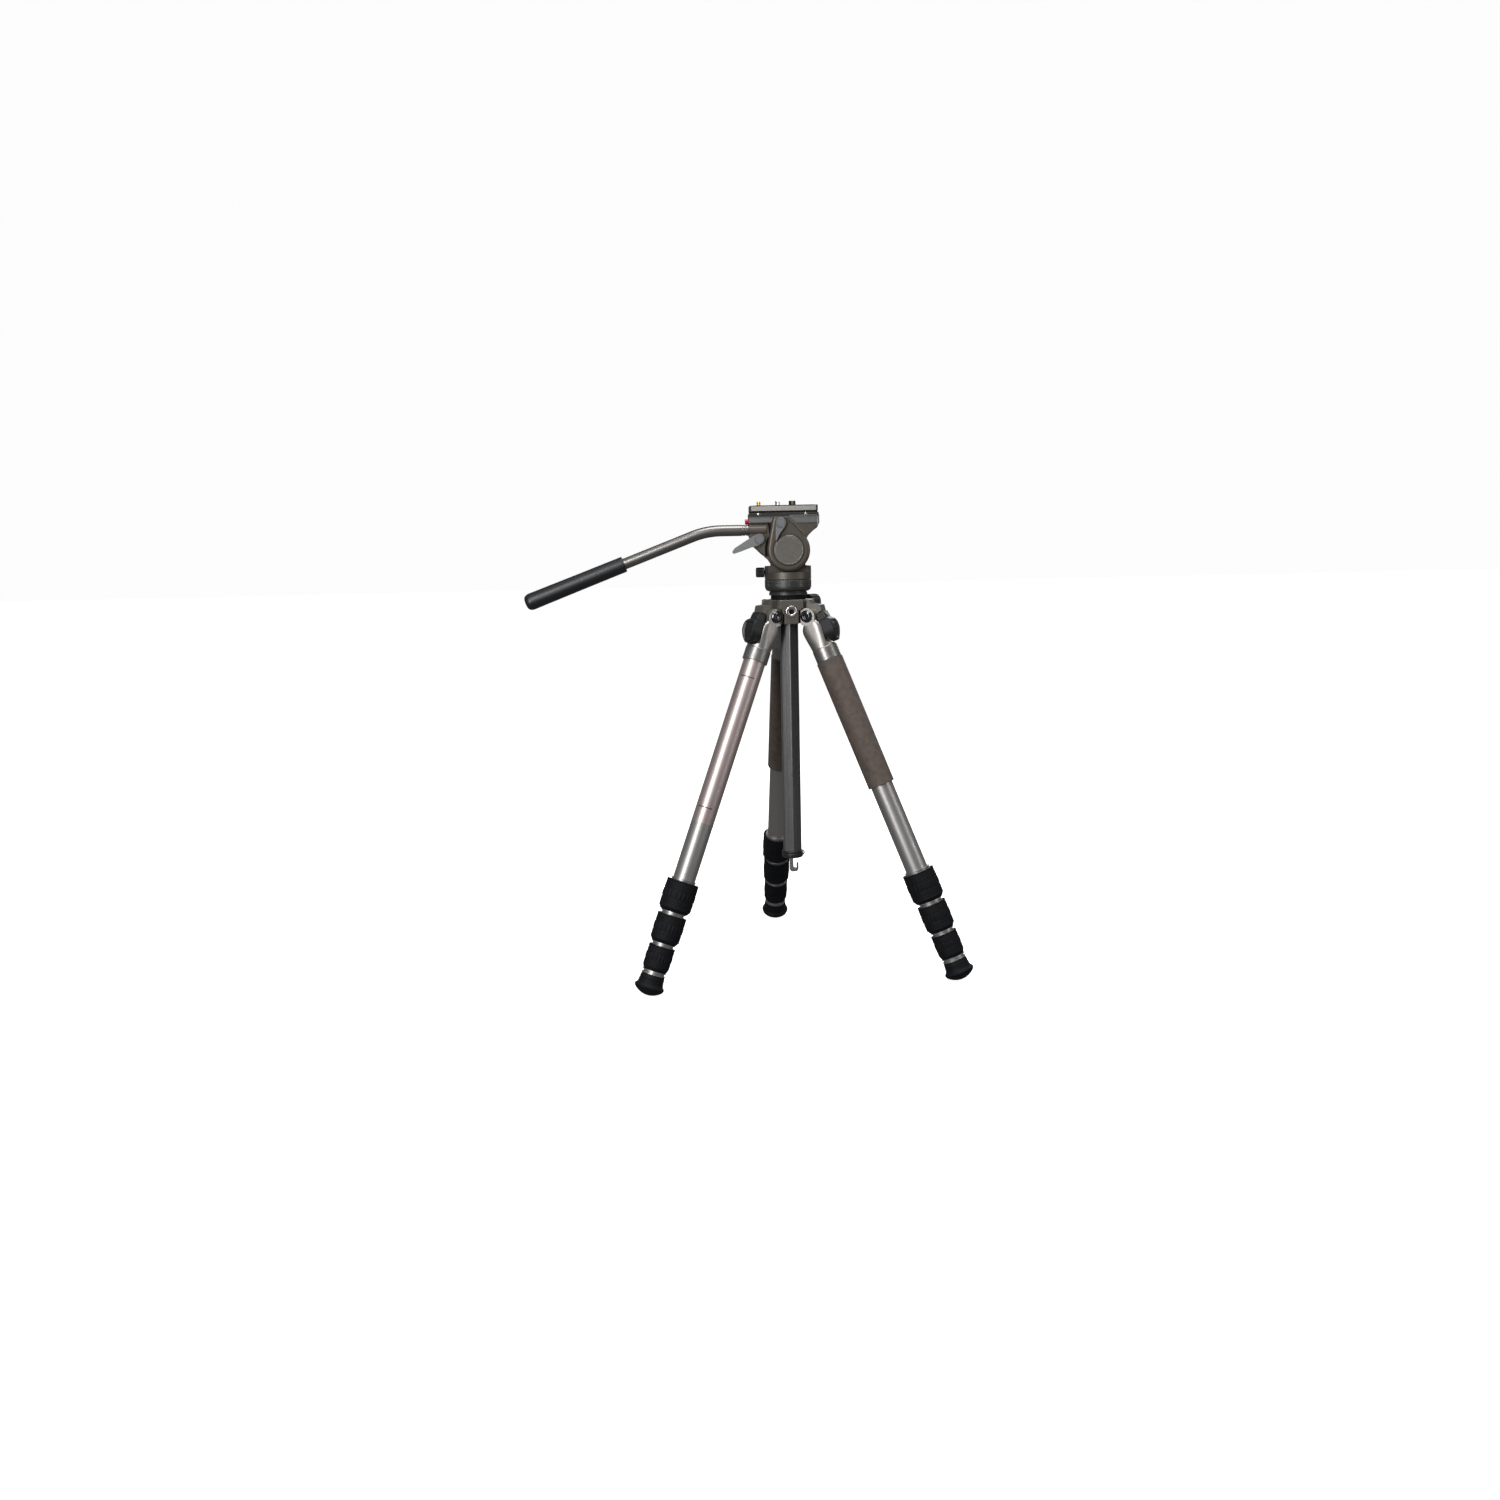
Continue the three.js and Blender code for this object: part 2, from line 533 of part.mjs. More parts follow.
function tiltBody() {
  const arms = [slab(armOutline(), -ARM_OUTER, -ARM_INNER), slab(armOutline(), ARM_INNER, ARM_OUTER)];
  const platformOutline = [
    [-49.5, PLATFORM_FLOOR], [35, PLATFORM_FLOOR], [38.7, 116.5], [38.7, PLATFORM_TOP],
    [-49.5, PLATFORM_TOP],
  ];
  const platform = slab(platformOutline, -ARM_INNER - 1, ARM_INNER + 1);
  const leverBores = [TILT_LEVER, CLAMP_LEVER].map(({ x, z }) =>
    rodY(LEVER.shank + FIT, -ARM_OUTER - 1, -LEVER.end + 1, x, z),
  );
  return cut(
    joined(...arms, platform),
    dovetailChannel(),
    ...leverBores,
    rodY(SHAFT.radius + FIT, -ARM_OUTER - 1, SHAFT.reach + FIT, 0, TILT_LEVEL),
    rodY(DISC.radius + FIT, -ARM_OUTER - 1, -DISC.floor + FIT, 0, TILT_LEVEL, FINE),
    rodX(HANDLE.spigot + FIT, -60, HANDLE.spigotEnd + 1, HANDLE.y, HANDLE.z),
    rodX(BUTTON.radius + FIT, -60, BUTTON.to + 3.2, BUTTON.y, BUTTON.z),
    rodY(PLATE_KNOB.shank + FIT, CHANNEL.neck, ARM_OUTER + 1, PLATE_KNOB.x, PLATE_KNOB.z),
  );
}

// A clamping lever: a round hub on a shank into the body, and a tapering arm with a rounded tip.
function lever({ x, z, length, turn }, hubReach, tipReach) {
  const { hub: radius, from, to, armFrom, armTo, shank, end } = LEVER;
  const arm = slab(
    [...arc(0, 0, hubReach, 100, 260, 6), ...arc(length - tipReach, 0, tipReach, -90, 90, 6)],
    -armTo,
    -armFrom,
  );
  const swung = arm.rotate([0, -turn, 0]);
  const pivot = joined(rodY(radius, -to, -from, 0, 0), rodY(shank, -from - 1, -end, 0, 0));
  return joined(swung, pivot).translate([x, 0, z]);
}

function handlePath() {
  const { z, start } = HANDLE;
  const bend = HANDLE_BEND;
  const run = HANDLE_BEND_RADIUS * Math.sin(HANDLE_DROP);
  const drop = HANDLE_BEND_RADIUS * (1 - Math.cos(HANDLE_DROP));
  const corner = HANDLE_BEND_RADIUS * Math.tan(HANDLE_DROP / 2);
  const at = (x, height) => new THREE.Vector3(x, HANDLE.y, height);
  const bent = at(bend - run, z - drop);
  const gripDrop = (bent.x - HANDLE_GRIP.start) * Math.tan(HANDLE_DROP);
  const gripStart = at(HANDLE_GRIP.start, bent.z - gripDrop);
  const along = new THREE.Vector3(-Math.cos(HANDLE_DROP), 0, -Math.sin(HANDLE_DROP));
  const end = gripStart.clone().addScaledVector(along, HANDLE_GRIP.bore - 2);
  const path = new THREE.CurvePath();
  path.add(new THREE.LineCurve3(at(start, z), at(bend, z)));
  path.add(new THREE.QuadraticBezierCurve3(at(bend, z), at(bend - corner, z), bent));
  path.add(new THREE.LineCurve3(bent, end));
  return { path, gripStart };
}

function handleTube() {
  const section = new THREE.Shape().absarc(0, 0, HANDLE.radius, 0, 2 * Math.PI);
  section.holes.push(new THREE.Path().absarc(0, 0, HANDLE.bore, 0, 2 * Math.PI));
  const options = { steps: 12, curveSegments: 6, extrudePath: handlePath().path };
  const pipe = solid(new THREE.ExtrudeGeometry(section, options));
  const spigot = rodX(HANDLE.spigot, HANDLE.start - 4, HANDLE.spigotEnd, HANDLE.y, HANDLE.z);
  return joined(pipe, spigot);
}

function handleGrip() {
  const { length, neck, end, bore, round } = HANDLE_GRIP;
  const inner = HANDLE.radius + FIT;
  const profile = [
    [0, bore], [inner, bore], [inner, 0], [neck - 0.8, 0], [neck, 1.2], [end, length - round - 4],
    [end, length - round], [end - 2, length - 2], [end - 6, length], [0, length],
  ];
  const upended = profile.reverse().map(([radius, height]) => [radius, -height]);
  return turned(upended, ROUND).rotate([180, 0, 0]);
}

function releasePlate() {
  const { left, right, half, top, slab: under, neck, foot: wide, floor } = PLATE;
  const section = [
    [-wide, floor], [wide, floor], [neck, 130.4], [neck, under], [half, under], [half, top],
    [-half, top], [-half, under], [-neck, under], [-neck, 130.4],
  ];
  const body = rail(section, left, right);
  const screwHoles = [QUARTER_SCREW, THREE_EIGHTHS_SCREW].map(({ x, radius, head }) =>
    joined(
      rodZ(radius + FIT, floor, top + 1, COARSE),
      rodZ(head + FIT, floor - 1, SCREW_HEAD.to + FIT, COARSE),
    ).translate([x, 0, 0]),
  );
  const pinHole = joined(
    rodZ(VIDEO_PIN.radius + FIT, floor, top + 1, COARSE),
    rodZ(VIDEO_PIN.head + FIT, floor - 1, VIDEO_PIN.headTop + FIT, COARSE),
  ).translate([VIDEO_PIN.x, 0, 0]);
  return cut(body, ...screwHoles, pinHole);
}

function headedPin({ radius, head, top }, from, headTop) {
  return turned([
    [0, from], [head, from], [head, headTop], [radius, headTop], [radius, top], [0, top],
  ], COARSE);
}

// ---------------------------------------------------------------- assembly

Object.entries(LEG_TURNS).forEach(([side, degrees]) => buildLeg(side, degrees));

function onHubFace(name, shape, degrees) {
  const face = new THREE.Group();
  face.rotation.z = THREE.MathUtils.degToRad(degrees);
  hubFrame.add(face);
  const mesh = place(name, shape, BLACK_PLASTIC, face);
  mesh.position.z = KNOB_LEVEL;
  mesh.rotation.y = -Math.PI / 2;
}

place("hub", hub(), CAST_PAINT, hubFrame);
place("accessory_socket", accessorySocket(), BRIGHT_STEEL, hubFrame);
onHubFace("column_lock_knob", knobOnShank(COLUMN_KNOB), 120);
onHubFace("hub_side_screw", knobOnShank(SIDE_SCREW), -120);
place("centre_column", centreColumn(), DARK_ANODISED, hubFrame);
place("column_plate", columnPlate(), BLACK_PLASTIC, hubFrame);
place("mounting_stud", mountingStud(), BRIGHT_STEEL, hubFrame);
place("column_bottom_cap", bottomCap(), BLACK_PLASTIC, hubFrame);
place("weight_hook", weightHook(), BRIGHT_STEEL, hubFrame);

place("pan_base", panBase(), HEAD_PAINT, headFrame);
place("pan_housing", panHousing(), HEAD_PAINT, headFrame);
const panKnob = place("pan_lock_knob", knobOnShank(PAN_KNOB), BLACK_PLASTIC, headFrame);
panKnob.position.z = PAN_KNOB.level;
panKnob.rotation.y = -Math.PI / 2;

const shaft = rodY(SHAFT.radius, -SHAFT.reach, SHAFT.reach, 0, TILT_LEVEL);
const disc = rodY(DISC.radius, -DISC.face, -DISC.floor, 0, TILT_LEVEL, FINE);
place("tilt_shaft", shaft, BRIGHT_STEEL, headFrame);
place("tilt_body", tiltBody(), HEAD_PAINT, headFrame);
place("tilt_cap", disc, SATIN_ALUMINIUM, headFrame);
place("tilt_lock_lever", lever(TILT_LEVER, 5.5, 2.6), LEVER_GREY, headFrame);
place("handle_clamp_lever", lever(CLAMP_LEVER, 5.5, 3), LEVER_GREY, headFrame);

place("handle_tube", handleTube(), SATIN_ALUMINIUM, headFrame);
const grip = place("handle_grip", handleGrip(), BLACK_RUBBER, headFrame);
grip.position.copy(handlePath().gripStart);
grip.rotation.y = -Math.PI / 2 - HANDLE_DROP;

const quarterScrew = headedPin(QUARTER_SCREW, SCREW_HEAD.from, SCREW_HEAD.to);
const threeEighthsScrew = headedPin(THREE_EIGHTHS_SCREW, SCREW_HEAD.from, SCREW_HEAD.to);
const videoPin = headedPin(VIDEO_PIN, VIDEO_PIN.from, VIDEO_PIN.headTop);
place("quick_release_plate", releasePlate(), DARK_ANODISED, headFrame);
place("quarter_inch_screw", quarterScrew, BRIGHT_STEEL, headFrame).position.x = QUARTER_SCREW.x;
const threeEighths = place("three_eighths_screw", threeEighthsScrew, BRIGHT_STEEL, headFrame);
threeEighths.position.x = THREE_EIGHTHS_SCREW.x;
place("video_pin", videoPin, BRASS, headFrame).position.x = VIDEO_PIN.x;
const plateKnob = place("plate_lock_knob", knobOnShank(PLATE_KNOB), BLACK_PLASTIC, headFrame);
plateKnob.position.set(PLATE_KNOB.x, 0, PLATE_KNOB.z);
plateKnob.rotation.x = -Math.PI / 2;
const button = rodX(BUTTON.radius, BUTTON.from, BUTTON.to, BUTTON.y, BUTTON.z);
place("plate_safety_button", button, RED_PLASTIC, headFrame);

export default tripod;
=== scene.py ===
"""A video tripod with a fluid head: the looks of every piece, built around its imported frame.

Lengths are in millimetres until a shell becomes an object. Heights on the head and the hub are measured
from the leg hinges, and heights on a leg from its own hinge, with -Z along the leg.
"""

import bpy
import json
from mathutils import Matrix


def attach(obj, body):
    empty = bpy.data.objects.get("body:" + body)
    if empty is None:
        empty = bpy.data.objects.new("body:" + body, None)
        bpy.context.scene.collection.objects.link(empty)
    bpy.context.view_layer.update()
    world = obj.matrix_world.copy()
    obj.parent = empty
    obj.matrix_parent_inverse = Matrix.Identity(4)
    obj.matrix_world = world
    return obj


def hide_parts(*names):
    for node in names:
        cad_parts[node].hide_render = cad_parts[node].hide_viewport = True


bl_info = {
    "name": "Video Tripod",
    "version": (1, 0, 0),
    "blender": (4, 5, 0),
    "location": "View3D > Sidebar > Tripod",
    "description": "Builds a video tripod with a fluid head around its frame",
    "category": "Add Mesh",
}

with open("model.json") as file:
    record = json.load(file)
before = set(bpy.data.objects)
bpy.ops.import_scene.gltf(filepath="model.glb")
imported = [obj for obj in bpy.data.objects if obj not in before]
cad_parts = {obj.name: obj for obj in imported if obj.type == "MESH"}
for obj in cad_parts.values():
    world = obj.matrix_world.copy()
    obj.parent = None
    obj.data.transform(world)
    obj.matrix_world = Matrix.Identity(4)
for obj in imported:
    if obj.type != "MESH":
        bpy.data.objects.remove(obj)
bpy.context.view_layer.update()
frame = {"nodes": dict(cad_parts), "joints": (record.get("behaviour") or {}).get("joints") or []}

import json
import math

import bmesh
import bpy
from bpy.props import FloatProperty, FloatVectorProperty, IntProperty, PointerProperty
from mathutils import Matrix, Vector

MM = 0.001
FULL_TURN = 2 * math.pi
JOINTS = {joint["name"]: joint for joint in frame["joints"]}
SIDES = ("rear", "left", "right")
HINGES = {side: JOINTS[f"{side}_leg_spread"]["pos_m"] for side in SIDES}
HINGE_HEIGHT = HINGES["left"][2] / MM
HINGE_RADIUS = math.hypot(*HINGES["left"][:2]) / MM
LEG_ANGLES = {side: math.degrees(math.atan2(y, x)) for side, (x, y, _) in HINGES.items()}
# Each flat face of the hub looks away from one leg.
FACE_ANGLES = {side: angle + 180 for side, angle in LEG_ANGLES.items()}
FROM_HINGES = Matrix.Translation((0, 0, HINGE_HEIGHT * MM))

# ------------------------------------------------------------------ settings


def colour_property(name, default, description):
    """A setting that holds a colour."""
    return FloatVectorProperty(
        name=name, description=description, subtype="COLOR", size=3, min=0, max=1, default=default
    )


class TripodFinishes(bpy.types.PropertyGroup):
    """The colours of the tripod's finishes."""

    casting: colour_property("Casting", (0.34, 0.325, 0.305), "Satin silver of the leg castings")
    collar: colour_property("Collar", (0.27, 0.265, 0.255), "Darker grey of the collars under the castings")
    tube: colour_property("Tube", (0.38, 0.37, 0.36), "Anodised silver of the leg tubes")
    hub: colour_property("Hub", (0.115, 0.105, 0.092), "Bronze-grey paint of the hub")
    head: colour_property("Head", (0.088, 0.074, 0.060), "Dark bronze paint of the head")
    panel: colour_property("Panel", (0.16, 0.16, 0.155), "Grey of the head's raised panels")
    disc: colour_property("Disc", (0.185, 0.17, 0.155), "Brushed disc over the tilt axis")
    base: colour_property("Base", (0.045, 0.044, 0.042), "Dark grey of the pan base")
    handle: colour_property("Handle", (0.19, 0.183, 0.175), "Dark titanium of the handle's tube")
    lever: colour_property("Lever", (0.135, 0.138, 0.143), "Grey of the two levers")
    column: colour_property("Column", (0.135, 0.135, 0.138), "Anodised grey of the centre column")
    plate: colour_property("Plate", (0.36, 0.35, 0.33), "Grained side of the quick-release plate")
    rubber: colour_property("Rubber", (0.0045, 0.005, 0.0065), "Black rubber of locks, feet and grip")
    plastic: colour_property("Plastic", (0.010, 0.011, 0.013), "Black plastic of knobs and angle locks")
    sleeve: colour_property("Sleeve", (0.075, 0.056, 0.047), "Brown soft sleeve on two legs")
    steel: colour_property("Steel", (0.60, 0.59, 0.57), "Bright turned steel")
    brass: colour_property("Brass", (0.60, 0.38, 0.11), "Gilt video pin")
    bronze: colour_property("Bronze", (0.10, 0.08, 0.055), "Dark bronze of the larger camera screw")
    red: colour_property("Red", (0.33, 0.004, 0.035), "Safety button")
    film: colour_property("Film", (0.52, 0.44, 0.425), "Warm film on the left leg's tube")
    print: colour_property("Print", (0.045, 0.02, 0.02), "Dark print on the left leg's tube")
    marks: colour_property("Marks", (0.13, 0.13, 0.13), "Marks on the pan scale")


class TripodSizes(bpy.types.PropertyGroup):
    """The sizes of the tripod's fine detail."""

    lock_relief: FloatProperty(
        name="Lock relief", description="Depth of the knurl on the twist locks, in millimetres",
        default=0.8, min=0, max=2,
    )
    lock_ribs: IntProperty(
        name="Lock ribs", description="Ribs round a twist lock", default=24, min=8, max=48
    )
    sleeve_relief: FloatProperty(
        name="Sleeve relief", description="Depth of the sleeve's ribs, in millimetres",
        default=0.25, min=0, max=1,
    )
    sleeve_pitch: FloatProperty(
        name="Sleeve pitch", description="Spacing of the sleeve's ribs, in millimetres",
        default=3.4, min=1, max=10,
    )
    scale_marks: IntProperty(
        name="Scale marks", description="Marks round the pan scale", default=72, min=12, max=180
    )


class TripodStage(bpy.types.PropertyGroup):
    """The floor, the light and the camera."""

    camera_place: FloatVectorProperty(
        name="Camera", description="Camera position in metres", subtype="TRANSLATION", size=3,
        default=(-0.0947, -1.750, 0.5472),
    )
    yaw: FloatProperty(name="Yaw", description="Camera turned to its right, in degrees", default=1.34)
    pitch: FloatProperty(name="Pitch", description="Camera raised, in degrees", default=-8.41)
    roll: FloatProperty(name="Roll", description="Camera rolled, in degrees", default=-1.23)
    lens: FloatProperty(name="Lens", description="Focal length in millimetres", default=32.31, min=10)
    floor_size: FloatProperty(name="Floor", description="Width of the floor in metres", default=40.0, min=2)


# ------------------------------------------------------------------ outlines


def arc(centre, radius, start, end, steps):
    """Points of an arc, from one angle to another in degrees."""
    angles = [math.radians(start + (end - start) * step / steps) for step in range(steps + 1)]
    return [(centre[0] + radius * math.cos(a), centre[1] + radius * math.sin(a)) for a in angles]


def eased(points, radius, steps=3, closed=False):
    """The outline with its corners rounded off by short curves."""
    count = len(points)
    rounded = []
    for index, corner in enumerate(points):
        here = Vector(corner)
        if not closed and index in (0, count - 1):
            rounded.append(tuple(here))
            continue
        back, on = Vector(points[index - 1]) - here, Vector(points[(index + 1) % count]) - here
        reach = min(radius, back.length * 0.45, on.length * 0.45)
        first, last = here + back.normalized() * reach, here + on.normalized() * reach
        for step in range(steps + 1):
            t = step / steps
            point = first * (1 - t) ** 2 + here * 2 * t * (1 - t) + last * t**2
            rounded.append(tuple(point))
    return rounded


def stepped(profile, step):
    """The profile with points added, so that no stretch is longer than a step."""
    filled = [profile[0]]
    for start, end in zip(profile, profile[1:]):
        parts = max(1, math.ceil((Vector(end) - Vector(start)).length / step))
        filled += [tuple(Vector(start).lerp(Vector(end), part / parts)) for part in range(1, parts + 1)]
    return filled


def hull_of_circles(centre_a, radius_a, centre_b, radius_b, steps=20):
    """The outline of two circles and the band between them, anticlockwise."""
    a, b = Vector(centre_a), Vector(centre_b)
    across = b - a
    heading = math.degrees(math.atan2(across.y, across.x))
    lean = math.degrees(math.acos((radius_a - radius_b) / across.length))
    first = arc(centre_a, radius_a, heading + lean, heading + 360 - lean, steps)
    second = arc(centre_b, radius_b, heading - lean, heading + lean, steps)
    return first + second


# ------------------------------------------------------------------ shells

ON_AXIS = 1e-6  # a turned point nearer the axis than this is a single corner
SAME_PLACE = 1e-7  # corners closer than this, in metres, are one corner
SHARP_FROM = 32  # an edge that bends by more degrees than this stays sharp


def skinned(shell, rings):
    """Closes rings of corners into a solid: walls from each ring to the next, and a cap at both ends."""
    count = len(rings[0])
    for near, far in zip(rings, rings[1:]):
        for index in range(count):
            following = (index + 1) % count
            shell.faces.new((near[index], near[following], far[following], far[index]))
    shell.faces.new(rings[0])
    shell.faces.new(rings[-1])
    bmesh.ops.recalc_face_normals(shell, faces=shell.faces)
    return shell


def round_off(shell, edges, radius, steps):
    """Rounds some of a shell's edges; a radius of nothing leaves them sharp."""
    if radius:
        bmesh.ops.bevel(
            shell, geom=edges, offset=radius, offset_type="OFFSET", segments=steps, profile=0.5,
            affect="EDGES", clamp_overlap=True,
        )


def turned(profile, segments=72, relief=None):
    """A profile of (radius, height) points turned about Z.

    Relief, when given, is a function that changes the radius at an angle and a height.
    """
    shell = bmesh.new()
    rings = []
    for radius, height in profile:
        if radius < ON_AXIS:
            rings.append([shell.verts.new((0, 0, height))])
            continue
        row = []
        for segment in range(segments):
            angle = FULL_TURN * segment / segments
            reach = relief(angle, height, radius) if relief else radius
            row.append(shell.verts.new((reach * math.cos(angle), reach * math.sin(angle), height)))
        rings.append(row)
    closed = profile[0][0] > ON_AXIS
    for low, high in zip(rings, rings[1:] + rings[:1] if closed else rings[1:]):
        for segment in range(segments):
            following = (segment + 1) % segments
            if len(low) == 1 and len(high) == 1:
                continue
            if len(low) == 1:
                shell.faces.new((low[0], high[following], high[segment]))
            elif len(high) == 1:
                shell.faces.new((low[segment], low[following], high[0]))
            else:
                shell.faces.new((low[segment], low[following], high[following], high[segment]))
    bmesh.ops.recalc_face_normals(shell, faces=shell.faces)
    return shell


def rod(radius, low, high, edge=0.5, segments=48):
    """A rod along Z with eased rims."""
    return turned(eased([(0, low), (radius, low), (radius, high), (0, high)], edge), segments)


def slab(outline, low, high, edge=0.6, steps=2):
    """An outline of (x, z) points made solid from one Y to another, with rounded rims."""
    shell = bmesh.new()
    near = [shell.verts.new((x, low, z)) for x, z in outline]
    far = [shell.verts.new((x, high, z)) for x, z in outline]
    caps = [shell.faces.new(near), shell.faces.new(list(reversed(far)))]
    count = len(outline)
    for index in range(count):
        following = (index + 1) % count
        shell.faces.new((near[following], near[index], far[index], far[following]))
    round_off(shell, [rim for cap in caps for rim in cap.edges], edge, steps)
    bmesh.ops.recalc_face_normals(shell, faces=shell.faces)
    return shell


def pillow(outline_at, low, high, edge, steps=8):
    """A solid along Y with a fully rounded rim at its high end; outline_at moves the outline inwards."""
    shell = bmesh.new()
    levels = [(low, 0.0), (high - edge, 0.0)]
    for step in range(1, steps + 1):
        turn = math.pi / 2 * step / steps
        levels.append((high - edge + edge * math.sin(turn), edge * (1 - math.cos(turn))))
    rings = [[shell.verts.new((x, y, z)) for x, z in outline_at(amount)] for y, amount in levels]
    return skinned(shell, rings)


def block(low, high, edge=0.5, steps=2):
    """A box between two corners with all its edges rounded."""
    shell = bmesh.new()
    bmesh.ops.create_cube(shell, size=1)
    size = Vector(high) - Vector(low)
    middle = (Vector(high) + Vector(low)) / 2
    for vert in shell.verts:
        vert.co = Vector(part * length for part, length in zip(vert.co, size)) + middle
    round_off(shell, shell.edges[:], edge, steps)
    return shell


def prism(outline, low, high, edge=0.4):
    """An outline of (x, y) points made solid from one Z to another."""
    return moved(slab([(x, -y) for x, y in outline], low, high, edge), Matrix.Rotation(math.pi / 2, 4, "X"))


def swept(path, radius, segments=40):
    """A rod along a path of points that lies in one XZ plane."""
    shell = bmesh.new()
    rings = []
    for index, point in enumerate(path):
        before, after = path[max(index - 1, 0)], path[min(index + 1, len(path) - 1)]
        heading = (after - before).normalized()
        across = Vector((0, 1, 0))
        upright = heading.cross(across)
        rings.append([
            shell.verts.new(point + (across * math.cos(angle) + upright * math.sin(angle)) * radius)
            for angle in (FULL_TURN * segment / segments for segment in range(segments))
        ])
    return skinned(shell, rings)


def between(outer, inner, rows, columns):
    """A closed shell between two surfaces given as functions of row and column from 0 to 1."""
    shell = bmesh.new()
    sheets = []
    for surface in (outer, inner):
        sheets.append([
            [shell.verts.new(surface(row / rows, column / columns)) for column in range(columns + 1)]
            for row in range(rows + 1)
        ])
    for sheet in sheets:
        for row in range(rows):
            for column in range(columns):
                shell.faces.new((
                    sheet[row][column], sheet[row][column + 1],
                    sheet[row + 1][column + 1], sheet[row + 1][column],
                ))
    rims = []
    for sheet in sheets:
        rims.append(
            sheet[0][:-1] + [row[-1] for row in sheet[:-1]] + sheet[-1][:0:-1]
            + [row[0] for row in reversed(sheet[1:])]
        )
    count = len(rims[0])
    for index in range(count):
        following = (index + 1) % count
        shell.faces.new((rims[0][index], rims[0][following], rims[1][following], rims[1][index]))
    bmesh.ops.recalc_face_normals(shell, faces=shell.faces)
    return shell


def moved(shell, matrix):
    """The shell put through a matrix."""
    bmesh.ops.transform(shell, matrix=matrix, verts=shell.verts)
    return shell


def shifted(shell, x=0, y=0, z=0):
    """The shell moved by some distances."""
    return moved(shell, Matrix.Translation((x, y, z)))


def spun(shell, degrees):
    """The shell turned about Z."""
    return moved(shell, Matrix.Rotation(math.radians(degrees), 4, "Z"))


def along_x(shell):
    """What was built upwards along Z now runs along +X."""
    return moved(shell, Matrix.Rotation(math.pi / 2, 4, "Y"))


def along_minus_x(shell):
    """What was built upwards along Z now runs along -X."""
    return moved(shell, Matrix.Rotation(-math.pi / 2, 4, "Y"))


def along_y(shell):
    """What was built upwards along Z now runs along +Y."""
    return moved(shell, Matrix.Rotation(-math.pi / 2, 4, "X"))


def along_minus_y(shell):
    """What was built upwards along Z now runs along -Y."""
    return moved(shell, Matrix.Rotation(math.pi / 2, 4, "X"))


def loose_object(shell, name):
    """A plain object made from a shell, for a Boolean to use."""
    mesh = bpy.data.meshes.new(name)
    shell.to_mesh(mesh)
    shell.free()
    made = bpy.data.objects.new(name, mesh)
    bpy.context.scene.collection.objects.link(made)
    return made


def carved(shell, cuts=(), joins=()):
    """The shell with other shells joined to it and then cut out of it."""
    base = loose_object(shell, "blank")
    tools = []
    for kind, shells in (("UNION", joins), ("DIFFERENCE", cuts)):
        for tool_shell in shells:
            tool = loose_object(tool_shell, "tool")
            step = base.modifiers.new(kind.lower(), "BOOLEAN")
            step.operation = kind
            step.solver = "MANIFOLD"
            step.object = tool
            tools.append(tool)
    bpy.context.view_layer.update()
    result = base.evaluated_get(bpy.context.evaluated_depsgraph_get()).to_mesh()
    if not result.polygons:
        raise RuntimeError("a carved shell came out empty")
    made = bmesh.new()
    made.from_mesh(result)
    for used in [base, *tools]:
        bpy.data.meshes.remove(used.data)
    return made


def piece(name, shells, finish, body, *nodes, place=FROM_HINGES, slot=None):
    """Turns the shells into one object that rides on a body and stands for some of the frame's nodes."""
    mesh = bpy.data.meshes.new(name)
    whole = bmesh.new()
    for shell in shells:
        part = bpy.data.meshes.new("part")
        shell.to_mesh(part)
        shell.free()
        whole.from_mesh(part)
        bpy.data.meshes.remove(part)
    bmesh.ops.scale(whole, vec=(MM, MM, MM), verts=whole.verts)
    bmesh.ops.remove_doubles(whole, verts=whole.verts, dist=SAME_PLACE)
    bmesh.ops.dissolve_degenerate(whole, edges=whole.edges, dist=SAME_PLACE)
    whole.to_mesh(mesh)
    whole.free()
    mesh.polygons.foreach_set("use_smooth", [True] * len(mesh.polygons))
    mesh.set_sharp_from_angle(angle=math.radians(SHARP_FROM))
    mesh.materials.append(FINISHES[finish])
    made = bpy.data.objects.new(name, mesh)
    bpy.context.scene.collection.objects.link(made)
    made.matrix_world = place
    weighted = made.modifiers.new("weighted_normals", "WEIGHTED_NORMAL")
    weighted.keep_sharp = True
    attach(made, body)
    if nodes:
        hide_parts(*nodes)
    return made


def fitted(node, shells, finish, body, slot, place=FROM_HINGES):
    """The piece that stands for one of the frame's nodes and is named after it."""
    return piece(f"{node}_fine", shells, finish, body, node, place=place, slot=slot)


# ------------------------------------------------------------------ finishes

FINISHES = {}


